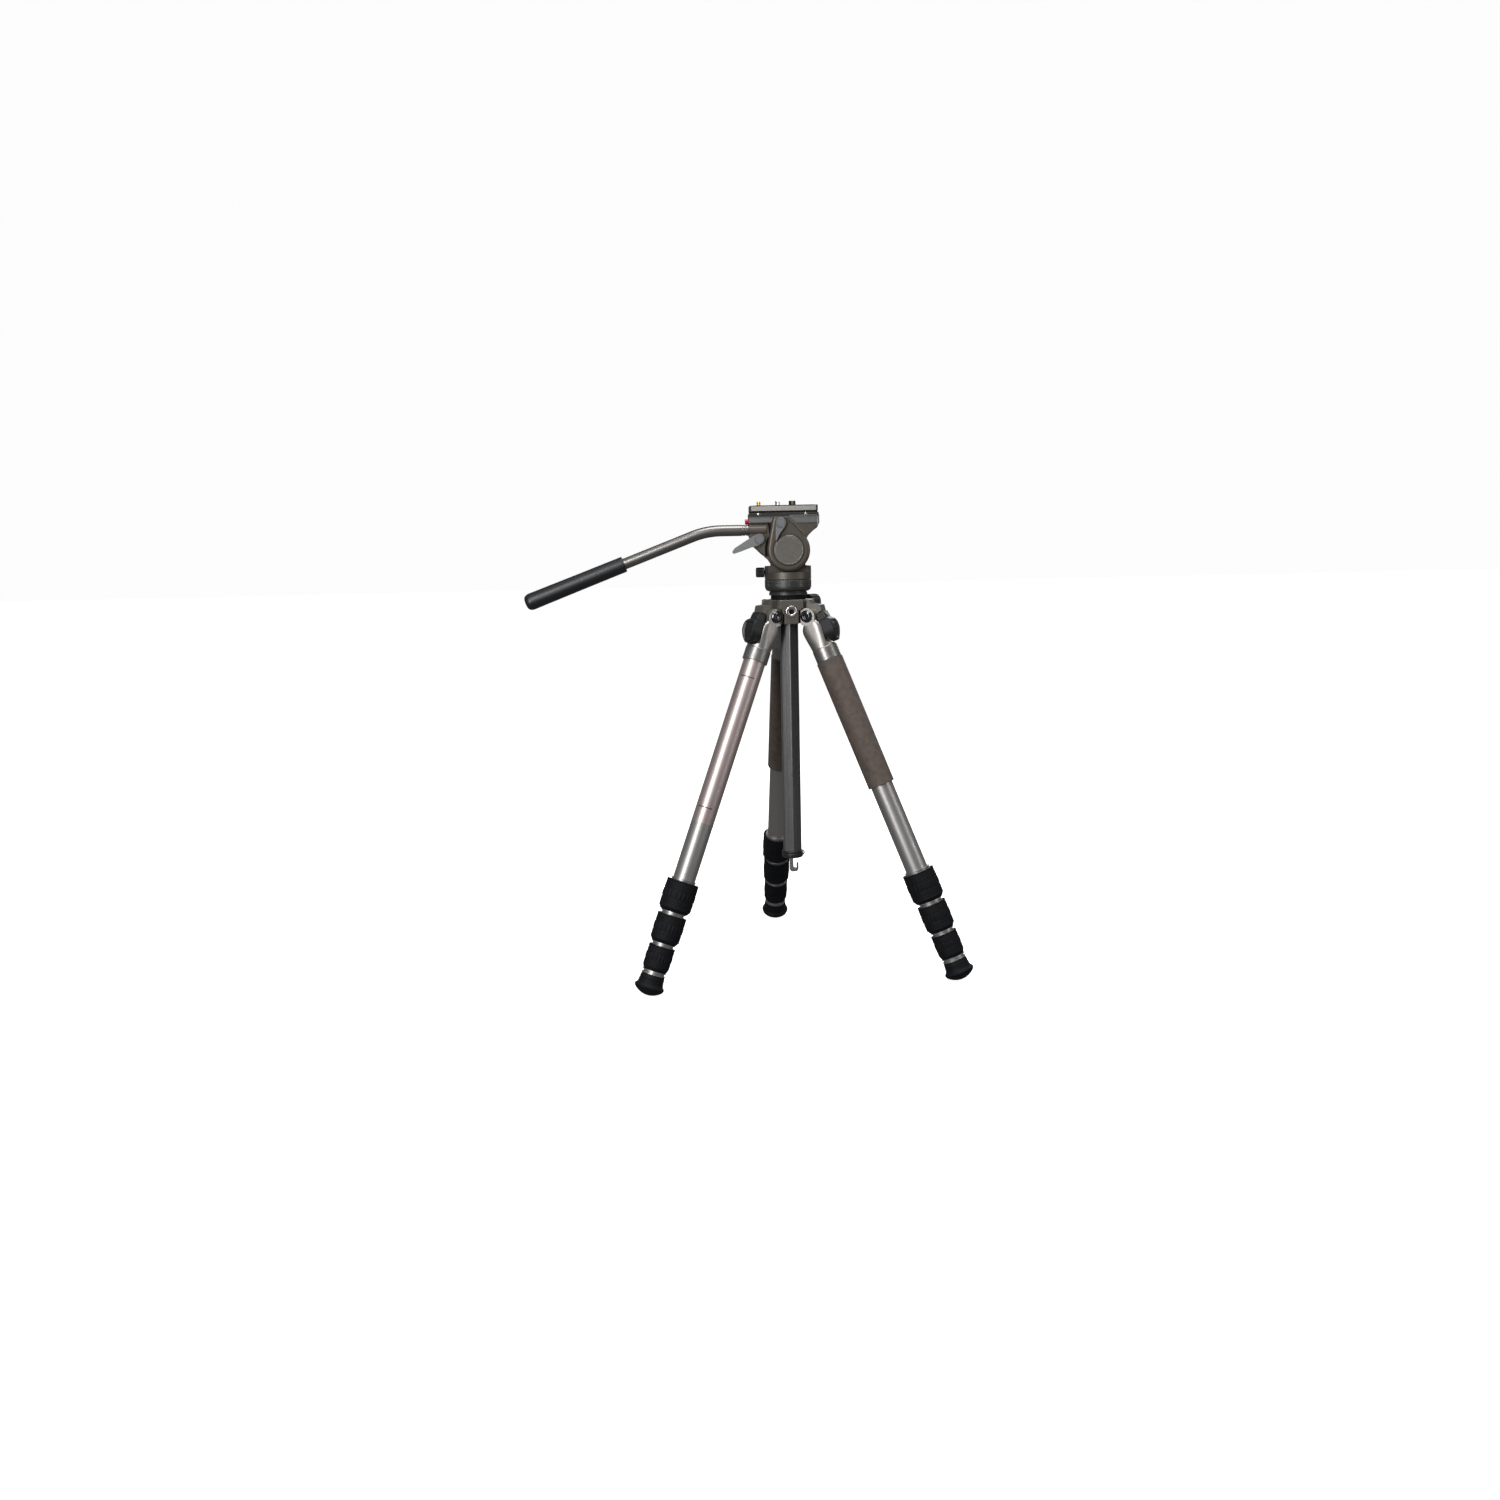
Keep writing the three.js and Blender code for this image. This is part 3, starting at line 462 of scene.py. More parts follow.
class Finish:
    """A material under construction: its node tree, its shader and the chain of bumps."""

    def __init__(self, name, colour, roughness, metallic=0.0):
        self.material = bpy.data.materials.new(name)
        self.material.use_nodes = True
        self.tree = self.material.node_tree
        self.shader = self.tree.nodes["Principled BSDF"]
        self.shader.inputs["Base Color"].default_value = (*colour, 1)
        self.shader.inputs["Roughness"].default_value = roughness
        self.shader.inputs["Metallic"].default_value = metallic
        self.colour = colour
        self.paint = None
        self.bumped = None

    def node(self, kind, **settings):
        """A new node with its settings."""
        made = self.tree.nodes.new(kind)
        for key, value in settings.items():
            setattr(made, key, value)
        return made

    def link(self, source, target):
        """Joins an output to an input."""
        self.tree.links.new(source, target)

    def coordinates(self, stretch=(1, 1, 1)):
        """The piece's own coordinates, stretched."""
        place = self.node("ShaderNodeTexCoord")
        mapping = self.node("ShaderNodeMapping")
        mapping.inputs["Scale"].default_value = stretch
        self.link(place.outputs["Object"], mapping.inputs["Vector"])
        return mapping.outputs["Vector"]

    def noise(self, grain, detail=3, stretch=(1, 1, 1)):
        """Noise whose features are a given size in millimetres."""
        made = self.node("ShaderNodeTexNoise")
        made.inputs["Scale"].default_value = 1 / (grain * MM)
        made.inputs["Detail"].default_value = detail
        self.link(self.coordinates(stretch), made.inputs["Vector"])
        return made.outputs["Fac"]

    def ranged(self, source, low, high, start=0.3, end=0.7):
        """The source's values from start to end, spread from low to high."""
        made = self.node("ShaderNodeMapRange")
        for key, value in zip(("From Min", "From Max", "To Min", "To Max"), (start, end, low, high)):
            made.inputs[key].default_value = value
        self.link(source, made.inputs["Value"])
        return made.outputs["Result"]

    def recolour(self, mix):
        """Puts a mix between the colour so far and the shader."""
        if self.paint:
            self.link(self.paint, mix.inputs["A"])
        else:
            mix.inputs["A"].default_value = (*self.colour, 1)
        self.paint = mix.outputs["Result"]
        self.link(self.paint, self.shader.inputs["Base Color"])

    def vary_colour(self, source, darkest, lightest):
        """The colour wanders between a darker and a lighter shade of itself."""
        mix = self.node("ShaderNodeMix", data_type="RGBA", blend_type="MULTIPLY")
        mix.inputs["Factor"].default_value = 1
        shade = self.ranged(source, darkest, lightest)
        spread = self.node("ShaderNodeCombineColor")
        for channel in ("Red", "Green", "Blue"):
            self.link(shade, spread.inputs[channel])
        self.link(spread.outputs["Color"], mix.inputs["B"])
        self.recolour(mix)

    def blend_colour(self, factor, colour):
        """Another colour laid over the first where the factor is high."""
        mix = self.node("ShaderNodeMix", data_type="RGBA")
        self.link(factor, mix.inputs["Factor"])
        mix.inputs["B"].default_value = (*colour, 1)
        self.recolour(mix)

    def vary_roughness(self, source, low, high):
        """The roughness wanders between two values."""
        self.link(self.ranged(source, low, high), self.shader.inputs["Roughness"])

    def bump(self, source, depth, strength=1.0):
        """Adds relief of a given depth in millimetres."""
        made = self.node("ShaderNodeBump")
        made.inputs["Distance"].default_value = depth * MM
        made.inputs["Strength"].default_value = strength
        self.link(source, made.inputs["Height"])
        if self.bumped:
            self.link(self.bumped, made.inputs["Normal"])
        self.bumped = made.outputs["Normal"]
        self.link(self.bumped, self.shader.inputs["Normal"])

    def worn_edges(self, colour, start=0.53, end=0.62, amount=0.5):
        """Edges rubbed to a lighter shade, broken up by noise."""
        geometry = self.node("ShaderNodeNewGeometry")
        edge = self.ranged(geometry.outputs["Pointiness"], 0, amount, start, end)
        patch = self.ranged(self.noise(2.5, 4), 0.2, 1, 0.35, 0.6)
        product = self.node("ShaderNodeMath", operation="MULTIPLY")
        self.link(edge, product.inputs[0])
        self.link(patch, product.inputs[1])
        self.blend_colour(product.outputs["Value"], colour)


def shaded(colour, factor):
    """A lighter or a darker shade of a colour."""
    return tuple(min(1, part * factor) for part in colour)


def cast_silver(name, colour):
    """Die-cast metal with a satin grain and rubbed edges."""
    finish = Finish(name, colour, 0.38, 0.9)
    finish.vary_colour(finish.noise(9, 4), 0.94, 1.05)
    finish.vary_roughness(finish.noise(3, 5), 0.35, 0.42)
    finish.bump(finish.noise(0.35, 4), 0.02, 0.5)
    finish.worn_edges(shaded(colour, 1.5))
    return finish.material


def drawn_tube(name, colour, roughness=0.42, stretch=(1, 1, 0.02), relief=0.003):
    """Satin drawn metal with streaks; stretch gives their direction."""
    finish = Finish(name, colour, roughness, 0.9)
    streaks = finish.noise(0.5, 3, stretch)
    finish.vary_colour(streaks, 0.97, 1.02)
    finish.vary_colour(finish.noise(40, 3, (1, 1, 0.4)), 0.97, 1.03)
    finish.vary_roughness(streaks, roughness * 0.93, roughness * 1.07)
    finish.bump(streaks, relief, 0.3)
    return finish.material


def cast_paint(name, colour, wear=1.8):
    """Fine-grained paint on cast metal, worn at the edges."""
    finish = Finish(name, colour, 0.42, 0.55)
    finish.vary_colour(finish.noise(12, 4), 0.9, 1.1)
    finish.vary_roughness(finish.noise(2.2, 5), 0.38, 0.50)
    finish.bump(finish.noise(0.28, 3), 0.03, 0.6)
    finish.worn_edges(shaded(colour, wear))
    finish.shader.inputs["Coat Weight"].default_value = 0.12
    finish.shader.inputs["Coat Roughness"].default_value = 0.35
    return finish.material


def brushed_disc(colour):
    """Metal brushed in straight lines along X."""
    finish = Finish("brushed_disc", colour, 0.38, 0.75)
    lines = finish.noise(0.22, 2, (0.03, 1, 1))
    finish.vary_colour(lines, 0.86, 1.12)
    finish.vary_roughness(lines, 0.32, 0.48)
    finish.bump(lines, 0.012, 0.6)
    return finish.material


def grained_plate(colour):
    """Coarsely grained metal of the plate's sides."""
    finish = Finish("grained_plate", colour, 0.45, 0.7)
    grain = finish.noise(0.9, 5, (0.35, 1, 1))
    finish.vary_colour(grain, 0.84, 1.14)
    finish.vary_roughness(grain, 0.38, 0.54)
    finish.bump(grain, 0.03, 0.5)
    finish.worn_edges(shaded(colour, 1.7))
    return finish.material


def anodised(name, colour):
    """Anodised metal with upright drawing streaks and bright corners."""
    finish = Finish(name, colour, 0.36, 0.8)
    streaks = finish.noise(0.5, 3, (1, 1, 0.02))
    finish.vary_colour(streaks, 0.93, 1.07)
    finish.vary_roughness(streaks, 0.32, 0.42)
    finish.bump(streaks, 0.008, 0.4)
    finish.worn_edges(shaded(colour, 2.2), amount=0.7)
    return finish.material


def turned_steel(name, colour, roughness=0.22):
    """Bright metal from a lathe."""
    finish = Finish(name, colour, roughness, 1.0)
    rings = finish.noise(0.3, 3)
    finish.vary_colour(rings, 0.92, 1.05)
    finish.vary_roughness(rings, roughness * 0.8, roughness * 1.4)
    finish.bump(rings, 0.004, 0.4)
    return finish.material


def moulded_rubber(name, colour):
    """Dull rubber with a dusty, uneven face."""
    finish = Finish(name, colour, 0.62)
    finish.vary_colour(finish.noise(6, 4), 0.85, 1.2)
    finish.vary_roughness(finish.noise(1.2, 4), 0.52, 0.74)
    finish.bump(finish.noise(0.25, 3), 0.03, 0.7)
    finish.shader.inputs["Specular IOR Level"].default_value = 0.14
    return finish.material


def moulded_plastic(name, colour, roughness=0.36):
    """Moulded plastic, polished where fingers rub its edges."""
    finish = Finish(name, colour, roughness)
    finish.vary_colour(finish.noise(5, 4), 0.94, 1.06)
    finish.vary_roughness(finish.noise(1.0, 4), roughness * 0.85, roughness * 1.25)
    finish.bump(finish.noise(0.3, 2), 0.015, 0.6)
    finish.worn_edges(shaded(colour, 2.6), amount=0.35)
    return finish.material


def glossy_bolt(colour):
    """Glossy black finish of the hinge bolts."""
    finish = Finish("glossy_bolt", colour, 0.12)
    finish.vary_roughness(finish.noise(0.8, 3), 0.08, 0.18)
    finish.bump(finish.noise(0.5, 2), 0.006, 0.3)
    finish.shader.inputs["Coat Weight"].default_value = 0.6
    finish.shader.inputs["Coat Roughness"].default_value = 0.05
    return finish.material


def soft_sleeve(colour):
    """Soft mottled sleeve with a little sheen."""
    finish = Finish("soft_sleeve", colour, 0.7)
    finish.vary_colour(finish.noise(7, 5), 0.78, 1.25)
    finish.vary_colour(finish.noise(0.9, 3), 0.9, 1.1)
    finish.vary_roughness(finish.noise(2, 4), 0.6, 0.8)
    finish.bump(finish.noise(0.3, 3), 0.05, 0.7)
    finish.shader.inputs["Sheen Weight"].default_value = 0.08
    finish.shader.inputs["Sheen Roughness"].default_value = 0.4
    return finish.material


def printed(name, colour, roughness=0.5):
    """Thin, slightly uneven print."""
    finish = Finish(name, colour, roughness)
    finish.vary_colour(finish.noise(0.5, 3), 0.8, 1.15)
    finish.vary_roughness(finish.noise(0.5, 3), roughness * 0.8, roughness * 1.2)
    return finish.material


def make_finishes(colours):
    """Makes every finish, under the name that the pieces ask for."""
    FINISHES.update(
        casting=cast_silver("cast_silver", colours.casting),
        collar=cast_silver("collar_grey", colours.collar),
        tube=drawn_tube("drawn_tube", colours.tube),
        handle=drawn_tube("handle_tube_metal", colours.handle, 0.34, (0.02, 1, 1), 0.0004),
        grip=moulded_plastic("grip_rubber", shaded(colours.rubber, 1.5), 0.4),
        base=cast_paint("base_paint", colours.base, 2.4),
        hub=cast_paint("hub_paint", colours.hub),
        head=cast_paint("head_paint", colours.head, 1.6),
        panel=cast_paint("panel_paint", colours.panel, 2.2),
        disc=brushed_disc(colours.disc),
        lever=moulded_plastic("lever_grey", colours.lever, 0.42),
        column=anodised("column_anodised", colours.column),
        plate=grained_plate(colours.plate),
        dark=cast_paint("dark_paint", shaded(colours.base, 0.62), 2.6),
        rubber=moulded_rubber("moulded_rubber", colours.rubber),
        plastic=moulded_plastic("moulded_plastic", colours.plastic),
        lock=moulded_plastic("angle_lock_plastic", shaded(colours.plastic, 0.6), 0.42),
        bolt=glossy_bolt(shaded(colours.plastic, 0.8)),
        sleeve=soft_sleeve(colours.sleeve),
        steel=turned_steel("turned_steel", colours.steel),
        bronze=turned_steel("dark_bronze", colours.bronze, 0.3),
        brass=turned_steel("gilt_brass", colours.brass),
        red=moulded_plastic("red_plastic", colours.red),
        film=drawn_tube("warm_film", colours.film),
        print=printed("dark_print", colours.print),
        marks=printed("scale_print", colours.marks),
    )


# ------------------------------------------------------------------ legs

CASTING_TOP = -12.4
CASTING_END = -61.0
EAR_RADIUS = 10.5
FORK_OUTER = 16.0
FORK_INNER = 9.35
GRIP_TOP, GRIP_END, GRIP_RADIUS = -61.4, -235.0, 17.4

# Each telescopic tube: its radius, top and end, its bright ring as radius, top and end, and its bush.
TUBES = {
    "upper": (14.3, -46.0, -389.0, (17.0, -352.2, -355.9), 16.9),
    "second": (12.6, -50.0, -430.0, (15.9, -394.8, -399.7), 14.6),
    "third": (11.0, -54.0, -466.2, (15.0, -435.3, -440.1), 13.2),
}
LOWER_TUBE = (9.4, -58.0, -488.0, (15.1, -471.3, -476.0))
# Each twist lock: top, end, its radii at the top, the crown, the shoulder and the small end, and its bore.
TWIST_LOCKS = {
    "upper": (-356.0, -394.4, (20.6, 21.2, 20.8, 17.7), 13.0),
    "second": (-400.0, -435.0, (18.8, 19.2, 18.8, 15.7), 11.4),
    "third": (-440.4, -471.0, (16.9, 17.3, 17.0, 15.0), 9.8),
}
LOCK_LIP = 4.7
LOCK_LEAN = 3.4
FOOT_DOME = 25.2
FOOT_BELL = 19.0
SPREAD = math.radians(23.5)  # how far each leg leans out at rest


def leg_place(side):
    """A leg's own frame: origin on the hinge, -Z down the leg, +X outwards."""
    down = Vector(JOINTS[f"{side}_second_extend"]["axis"]).normalized()
    across = -Vector(JOINTS[f"{side}_leg_spread"]["axis"]).normalized()
    outward = across.cross(-down)
    turn = Matrix((outward, across, -down)).transposed().to_4x4()
    return Matrix.Translation(JOINTS[f"{side}_leg_spread"]["pos_m"]) @ turn


# The casting's sections down the leg: height, inner, outer and side reach, and squareness.
CASTING_SECTIONS = (
    (-6.5, 9.0, 8.6, 15.4, 4.0),
    (-10.0, 12.4, 10.4, 15.9, 4.0),
    (-13.5, 15.2, 13.2, 16.0, 3.8),
    (-18.0, 16.9, 14.4, 16.0, 3.5),
    (-24.0, 17.0, 14.7, 15.9, 3.1),
    (-31.0, 16.6, 15.1, 15.8, 2.7),
    (-38.0, 16.1, 15.5, 15.7, 2.3),
    (-44.0, 15.8, 15.8, 15.8, 2.0),
    (-47.0, 15.8, 15.8, 15.8, 2.0),
)


def lofted(sections, segments=96):
    """A solid through sections that go from square to round."""
    shell = bmesh.new()
    rings = []
    for height, inner, outer, side, square in sections:
        row = []
        for segment in range(segments):
            angle = FULL_TURN * segment / segments
            cosine, sine = math.cos(angle), math.sin(angle)
            reach = outer if cosine > 0 else inner
            x = math.copysign(abs(cosine) ** (2 / square), cosine) * reach
            y = math.copysign(abs(sine) ** (2 / square), sine) * side
            row.append(shell.verts.new((x, y, height)))
        rings.append(row)
    return skinned(shell, rings)


def casting_shell():
    """The fork: two flat ears that run from a square section into a round barrel."""
    barrel = lofted(CASTING_SECTIONS)
    outline = arc((0, 0), EAR_RADIUS, -6, 192, 22)
    outline += [(-10.9, -6.5), *arc((-0.4, -0.2), 11.9, 214, 320, 12)]
    ears = slab(outline, -FORK_OUTER - 0.1, FORK_OUTER + 0.1, 1.0, 3)
    seat = slab([(9.0, -6.2), (22, -6.2), (22, -42.8), (15, -42.8), (9.0, -38)], -13, 13, 0)
    slot = slab([(-30, CASTING_TOP), (30, CASTING_TOP), (30, 30), (-30, 30)], -FORK_INNER, FORK_INNER, 0)
    notch = slab([(-20, -24), (-16.0, -24.4), (-15.6, -27.4), (-20, -27.8)], -4, 4, 0)
    return carved(barrel, joins=[ears], cuts=[slot, seat, notch])


def collar_shell():
    """The darker turned collar that the upper tube is glued into."""
    outline = [(14, -44.0), (15.6, -44.0), (16.4, -44.9), (16.4, CASTING_END), (14, CASTING_END)]
    return turned(eased(outline, 0.4), 96)


def bolt_shell():
    """A hinge bolt: a domed head with a hex recess on each side of the fork."""
    head = eased([
        (0, 17.4), (2.6, 17.4), (2.9, 19.1), (4.2, 19.45), (6.6, 18.7), (7.9, 17.2), (8.0, 16.35), (4, 16.35),
    ], 0.5)
    profile = head + [(radius, -height) for radius, height in reversed(head)]
    return along_y(turned(profile, 48))


PAD_TOP, PAD_LENGTH, PAD_SEAT = -10.6, 31.6, 9.4
# How far the pad's outer face stands out, at places along it from top to bottom.
PAD_FACE = ((0, 22.6), (0.06, 24.6), (0.16, 26.7), (0.3, 27.9), (0.5, 27.6), (0.75, 25.4), (1, 22.8))


def pad_reach(along):
    """How far the pad's outer face stands out at one place along it."""
    for (start, low), (end, high) in zip(PAD_FACE, PAD_FACE[1:]):
        if along <= end:
            return low + (high - low) * (along - start) / (end - start)
    return PAD_FACE[-1][1]


def pad_half_width(along):
    """Half the pad's width: rounded shoulders, and narrower towards its lower end."""
    shoulder = 12.0 - 3.4 * max(0.0, 1 - along / 0.08) ** 2
    return shoulder - 8.4 * max(0.0, (along - 0.45) / 0.55) ** 2.2


def pad_dish(along, across):
    """How deep the dished finger face lies."""
    inside = min(1, max(0, (0.80 - abs(across)) / 0.18)) * min(1, max(0, (along - 0.14) / 0.1))
    return 2.3 * inside * min(1, max(0, (0.95 - along) / 0.12))


def angle_lock_shells():
    """The sprung tab: a finger pad with a dished face, and the neck that meets the hub's ledge."""

    def outer(along, column):
        across = 2 * column - 1
        face = pad_reach(along) - pad_dish(along, across) - 1.6 * abs(across) ** 4
        return (face, across * pad_half_width(along), PAD_TOP - PAD_LENGTH * along)

    def inner(along, column):
        across = 2 * column - 1
        seat = PAD_SEAT if along < 0.7 else PAD_SEAT + 6.4 * (along - 0.7) / 0.3
        return (seat, across * (pad_half_width(along) - 0.4), PAD_TOP - PAD_LENGTH * along)

    pad = between(outer, inner, 44, 36)
    section = [(PAD_SEAT, -15), (22, -15), (21.2, -8), (20.4, -1.4), (PAD_SEAT, -1.4)]
    neck = slab(section, -8.5, 8.5, 0.7, 3)
    peg = along_x(rod(3, -6, 10))
    return [pad, neck, shifted(peg, z=-22)]


def ring_profile(ring):
    """A bright ring: two lips with a groove between them."""
    radius, top, end = ring
    middle = (top + end) / 2
    return [
        (radius, end), (radius, middle - 1.3), (radius - 1.7, middle - 1.0),
        (radius - 1.7, middle + 1.0), (radius, middle + 1.3), (radius, top),
    ]


def tube_shell(tube):
    """A telescopic tube with its bright ring and the bush at its end."""
    radius, top, end, ring, bush = tube
    outline = [(radius - 1.2, end), (bush, end), (bush, ring[2]), *ring_profile(ring), (radius, ring[1])]
    return turned(outline + [(radius, top), (radius - 1.2, top)], 80)


def lower_tube_shell():
    """The thinnest tube, closed at both ends, with its bright ring."""
    radius, top, end, ring = LOWER_TUBE
    outline = [(0, end), (radius, end), (radius, ring[2]), *ring_profile(ring), (radius, ring[1])]
    return turned(outline + [(radius, top), (0, top)], 64)


def lock_shell(lock, sizes):
    """A rubber-covered collar: diamonds at both ends and upright ribs between them."""
    top, end, (top_radius, crown, shoulder, lower), bore = lock
    lip = end + LOCK_LIP
    outside = [
        (lower - 0.6, end), (lower, end + 0.5), (shoulder - 0.9, lip - 1.0), (shoulder, lip),
        (crown, (top + lip) / 2), (top_radius, top + 0.9), (top_radius - 0.9, top),
    ]
    inside = [(bore, top - 0.1), (bore, end)]

    def relief(angle, height, radius):
        if radius < shoulder - 1.2 or radius < top_radius - 1.5:
            return radius
        share = (height - lip) / (top - lip)
        if share < 0 or share > 0.985:
            return radius
        turn = sizes.lock_ribs * angle / 2
        slope = math.pi * (height - lip) / LOCK_LEAN
        if 0.36 < share < 0.64:
            groove = 0.5 - 0.5 * math.cos(2 * turn)
        elif abs(share - 0.35) < 0.025 or abs(share - 0.65) < 0.025:
            groove = 1.0
        else:
            groove = 1 - abs(math.sin(turn + slope) * math.sin(turn - slope))
        return radius - sizes.lock_relief * groove

    return turned(stepped(outside, 0.85) + inside, 168, relief)


def foot_shell():
    """The rubber foot: a grooved neck, a flared bell and a domed sole."""
    centre = -(HINGE_HEIGHT - FOOT_DOME) / math.cos(SPREAD)
    angles = [math.radians(degrees) for degrees in (0, 8, 16, 24, 32, 40, 46)]
    dome = [(FOOT_DOME * math.sin(a), centre - FOOT_DOME * math.cos(a)) for a in angles]
    neck = [
        (FOOT_BELL + 0.2, -492.6), (FOOT_BELL, -491.4), (16.6, -488.6), (15.9, -486), (15.9, -483.4),
        (15.2, -483), (15.2, -482.2), (15.7, -481.8), (15.2, -478.6), (14.9, -476.4), (9.7, -476.4),
        (9.7, -486), (0, -486),
    ]
    return turned(dome + eased(neck, 0.6)[1:], 96)


def sleeve_shell(sizes):
    """A soft sleeve with fine ribs that lean one way and then the other."""
    lanes = 8

    def relief(angle, height, radius):
        if radius < GRIP_RADIUS - 0.5 or height > GRIP_TOP - 2 or height < GRIP_END + 2:
            return radius
        lane = (angle / FULL_TURN * lanes) % 2
        lean = abs(lane - 1) * FULL_TURN * GRIP_RADIUS / lanes
        wave = math.cos(FULL_TURN * (height + lean) / sizes.sleeve_pitch)
        return radius - sizes.sleeve_relief * (0.5 - 0.5 * wave)

    outside = eased(
        [(14.5, GRIP_END), (GRIP_RADIUS, GRIP_END), (GRIP_RADIUS, GRIP_TOP), (14.5, GRIP_TOP)], 0.8
    )
    return turned(stepped(outside, 0.85), 144, relief)


FILM, FILM_TOP, FILM_END = 0.06, -62.0, -278.0
PRINT_WIDTH = 1.2
PRINT_ANGLE = 58.0  # where the print faces, round the tube from its outer side
# Each printed line: angles from the facing direction, and places along the leg.
PRINT_LINES = (
    ((-55, 84), (25, 84)),
    ((-55, 258), (25, 258)),
)


def ribbon_on_tube(start, end, width, radius):
    """A thin printed line on a tube, from one (angle, height) to another."""
    (angle_a, height_a), (angle_b, height_b) = start, end
    run = Vector((math.radians(angle_b - angle_a) * radius, height_b - height_a))
    side = Vector((-run.y, run.x)).normalized() * width / 2

    def surface(lift):
        def at(row, column):
            middle = Vector((math.radians(angle_a) * radius, height_a)) + run * row
            spot = middle + side * (2 * column - 1)
            angle = spot.x / radius
            reach = radius + lift
            return (reach * math.cos(angle), reach * math.sin(angle), spot.y)
        return at

    return between(surface(0.06), surface(-0.2), 12, 1)


def print_shells():
    """A plain straight line round the tube near each end of the film."""
    ribbons = []
    for line in PRINT_LINES:
        for start, end in zip(line, line[1:]):
            ends = [(PRINT_ANGLE + turn, -along) for turn, along in (start, end)]
            ribbons.append(ribbon_on_tube(*ends, PRINT_WIDTH, TUBES["upper"][0] + FILM))
    return ribbons


def film_shell():
    """The thin warm film that the print is on."""
    radius = TUBES["upper"][0]
    inner, outer = radius - 0.3, radius + FILM
    return turned([(inner, FILM_TOP), (outer, FILM_TOP), (outer, FILM_END), (inner, FILM_END)], 80)


def build_leg(side, sizes):
    """Builds one leg from its casting down to its foot."""
    place = leg_place(side)
    leg = f"{side}_leg"

    def put(name, shells, finish, body, slot):
        fitted(f"{side}_{name}", shells, finish, body, slot, place)

    put("leg_casting", [casting_shell()], "casting", leg, "casting")
    piece(f"{side}_leg_collar", [collar_shell()], "collar", leg, place=place)
    put("hinge_pin", [bolt_shell()], "bolt", leg, "bolt")
    put("angle_lock", angle_lock_shells(), "lock", f"{side}_angle_lock", "plastic")
    for name, tube in TUBES.items():
        body = leg if name == "upper" else f"{side}_{name}"
        put(f"{name}_tube", [tube_shell(tube)], "tube", body, "tube")
        lock = lock_shell(TWIST_LOCKS[name], sizes)
        put(f"{name}_twist_lock", [lock], "rubber", f"{side}_{name}_lock", "rubber")
    put("lower_tube", [lower_tube_shell()], "tube", f"{side}_lower", "tube")
    put("foot", [foot_shell()], "rubber", f"{side}_lower", "rubber")
    if f"{side}_leg_grip" in frame["nodes"]:
        put("leg_grip", [sleeve_shell(sizes)], "sleeve", leg, "sleeve")


# ------------------------------------------------------------------ hub and column

HUB_TOP, HUB_BOTTOM = 21.5, -9.3
HUB_RADIUS = 25.5
FACE_REACH = 31.3
LUG_HALF = 9.0
COLUMN_CORNER = 13.1
COLUMN_END = -310.0
SOCKET_RADIUS, SOCKET_HOLE, SOCKET_LEVEL = 7.5, 3.4, 6.5
KNOB_LEVEL = 16.5


def lug_outline():
    """The side of a hub lug: round under the hinge, and a shelf above that stops the leg."""
    reach = 18.5
    stop = (
        HINGE_RADIUS + reach * math.cos(SPREAD) + math.sin(SPREAD),
        reach * math.sin(SPREAD) - math.cos(SPREAD),
    )
    under = arc((HINGE_RADIUS, 0), 8.9, -90, 16, 14)
    shelf = [(46.6, 14.4), (45.6, 15), (34, 15), (32, HUB_TOP), (8, HUB_TOP)]
    return [(8, HUB_BOTTOM + 0.4), *under, stop, *shelf]


def hub_shell():
    """The hub: a drum with three lugs, three flat faces and the column's hole."""
    body = turned(
        eased([(0, 3.5), (HUB_RADIUS, 3.5), (HUB_RADIUS, HUB_TOP), (0, HUB_TOP)], 1.0), 96
    )
    joins = [rod(20, HUB_BOTTOM, 6, 0.8, 72)]
    cuts = []
    for side in SIDES:
        angle = LEG_ANGLES[side]
        lug = slab(eased(lug_outline(), 1.2, 2, closed=True), -LUG_HALF, LUG_HALF, 0.8)
        joins.append(spun(lug, angle))
        upper = block((5, -15.3, 8), (FACE_REACH, 15.3, HUB_TOP), 0.9, 3)
        tongue = block((5, -9, HUB_BOTTOM), (FACE_REACH, 9, 12), 0.9, 3)
        joins += [spun(upper, FACE_ANGLES[side]), spun(tongue, FACE_ANGLES[side])]
        for low, high in ((-21, -LUG_HALF - 0.05), (LUG_HALF + 0.05, 21)):
            room = along_y(rod(11.5, low, high, 0, 64))
            cuts.append(spun(shifted(room, x=HINGE_RADIUS), angle))
    cuts.append(prism(hexagon(COLUMN_CORNER + 0.6, 0), HUB_BOTTOM - 2, HUB_TOP + 2, 0))
    socket = along_x(rod(SOCKET_RADIUS + 0.3, 23, 40, 0, 48))
    cuts.append(spun(shifted(socket, z=SOCKET_LEVEL), FACE_ANGLES["rear"]))
    return carved(body, joins=joins, cuts=cuts)


def hexagon(corner, ease):
    """The column's section, with its corners rounded."""
    turn = LEG_ANGLES["rear"]
    points = arc((0, 0), corner, turn, turn + 300, 5)
    return eased(points, ease, 4, closed=True) if ease else points


def socket_shell():
    """The accessory socket: a bright dished washer with a threaded hole."""
    profile = eased([
        (SOCKET_HOLE, 24), (SOCKET_HOLE, 30.8), (4.0, 31.2), (4.6, 31.6), (6.4, 31.75), (7.45, 31.2),
        (SOCKET_RADIUS, 24),
    ], 0.3)
    return spun(shifted(along_x(turned(profile, 64)), z=SOCKET_LEVEL), FACE_ANGLES["rear"])


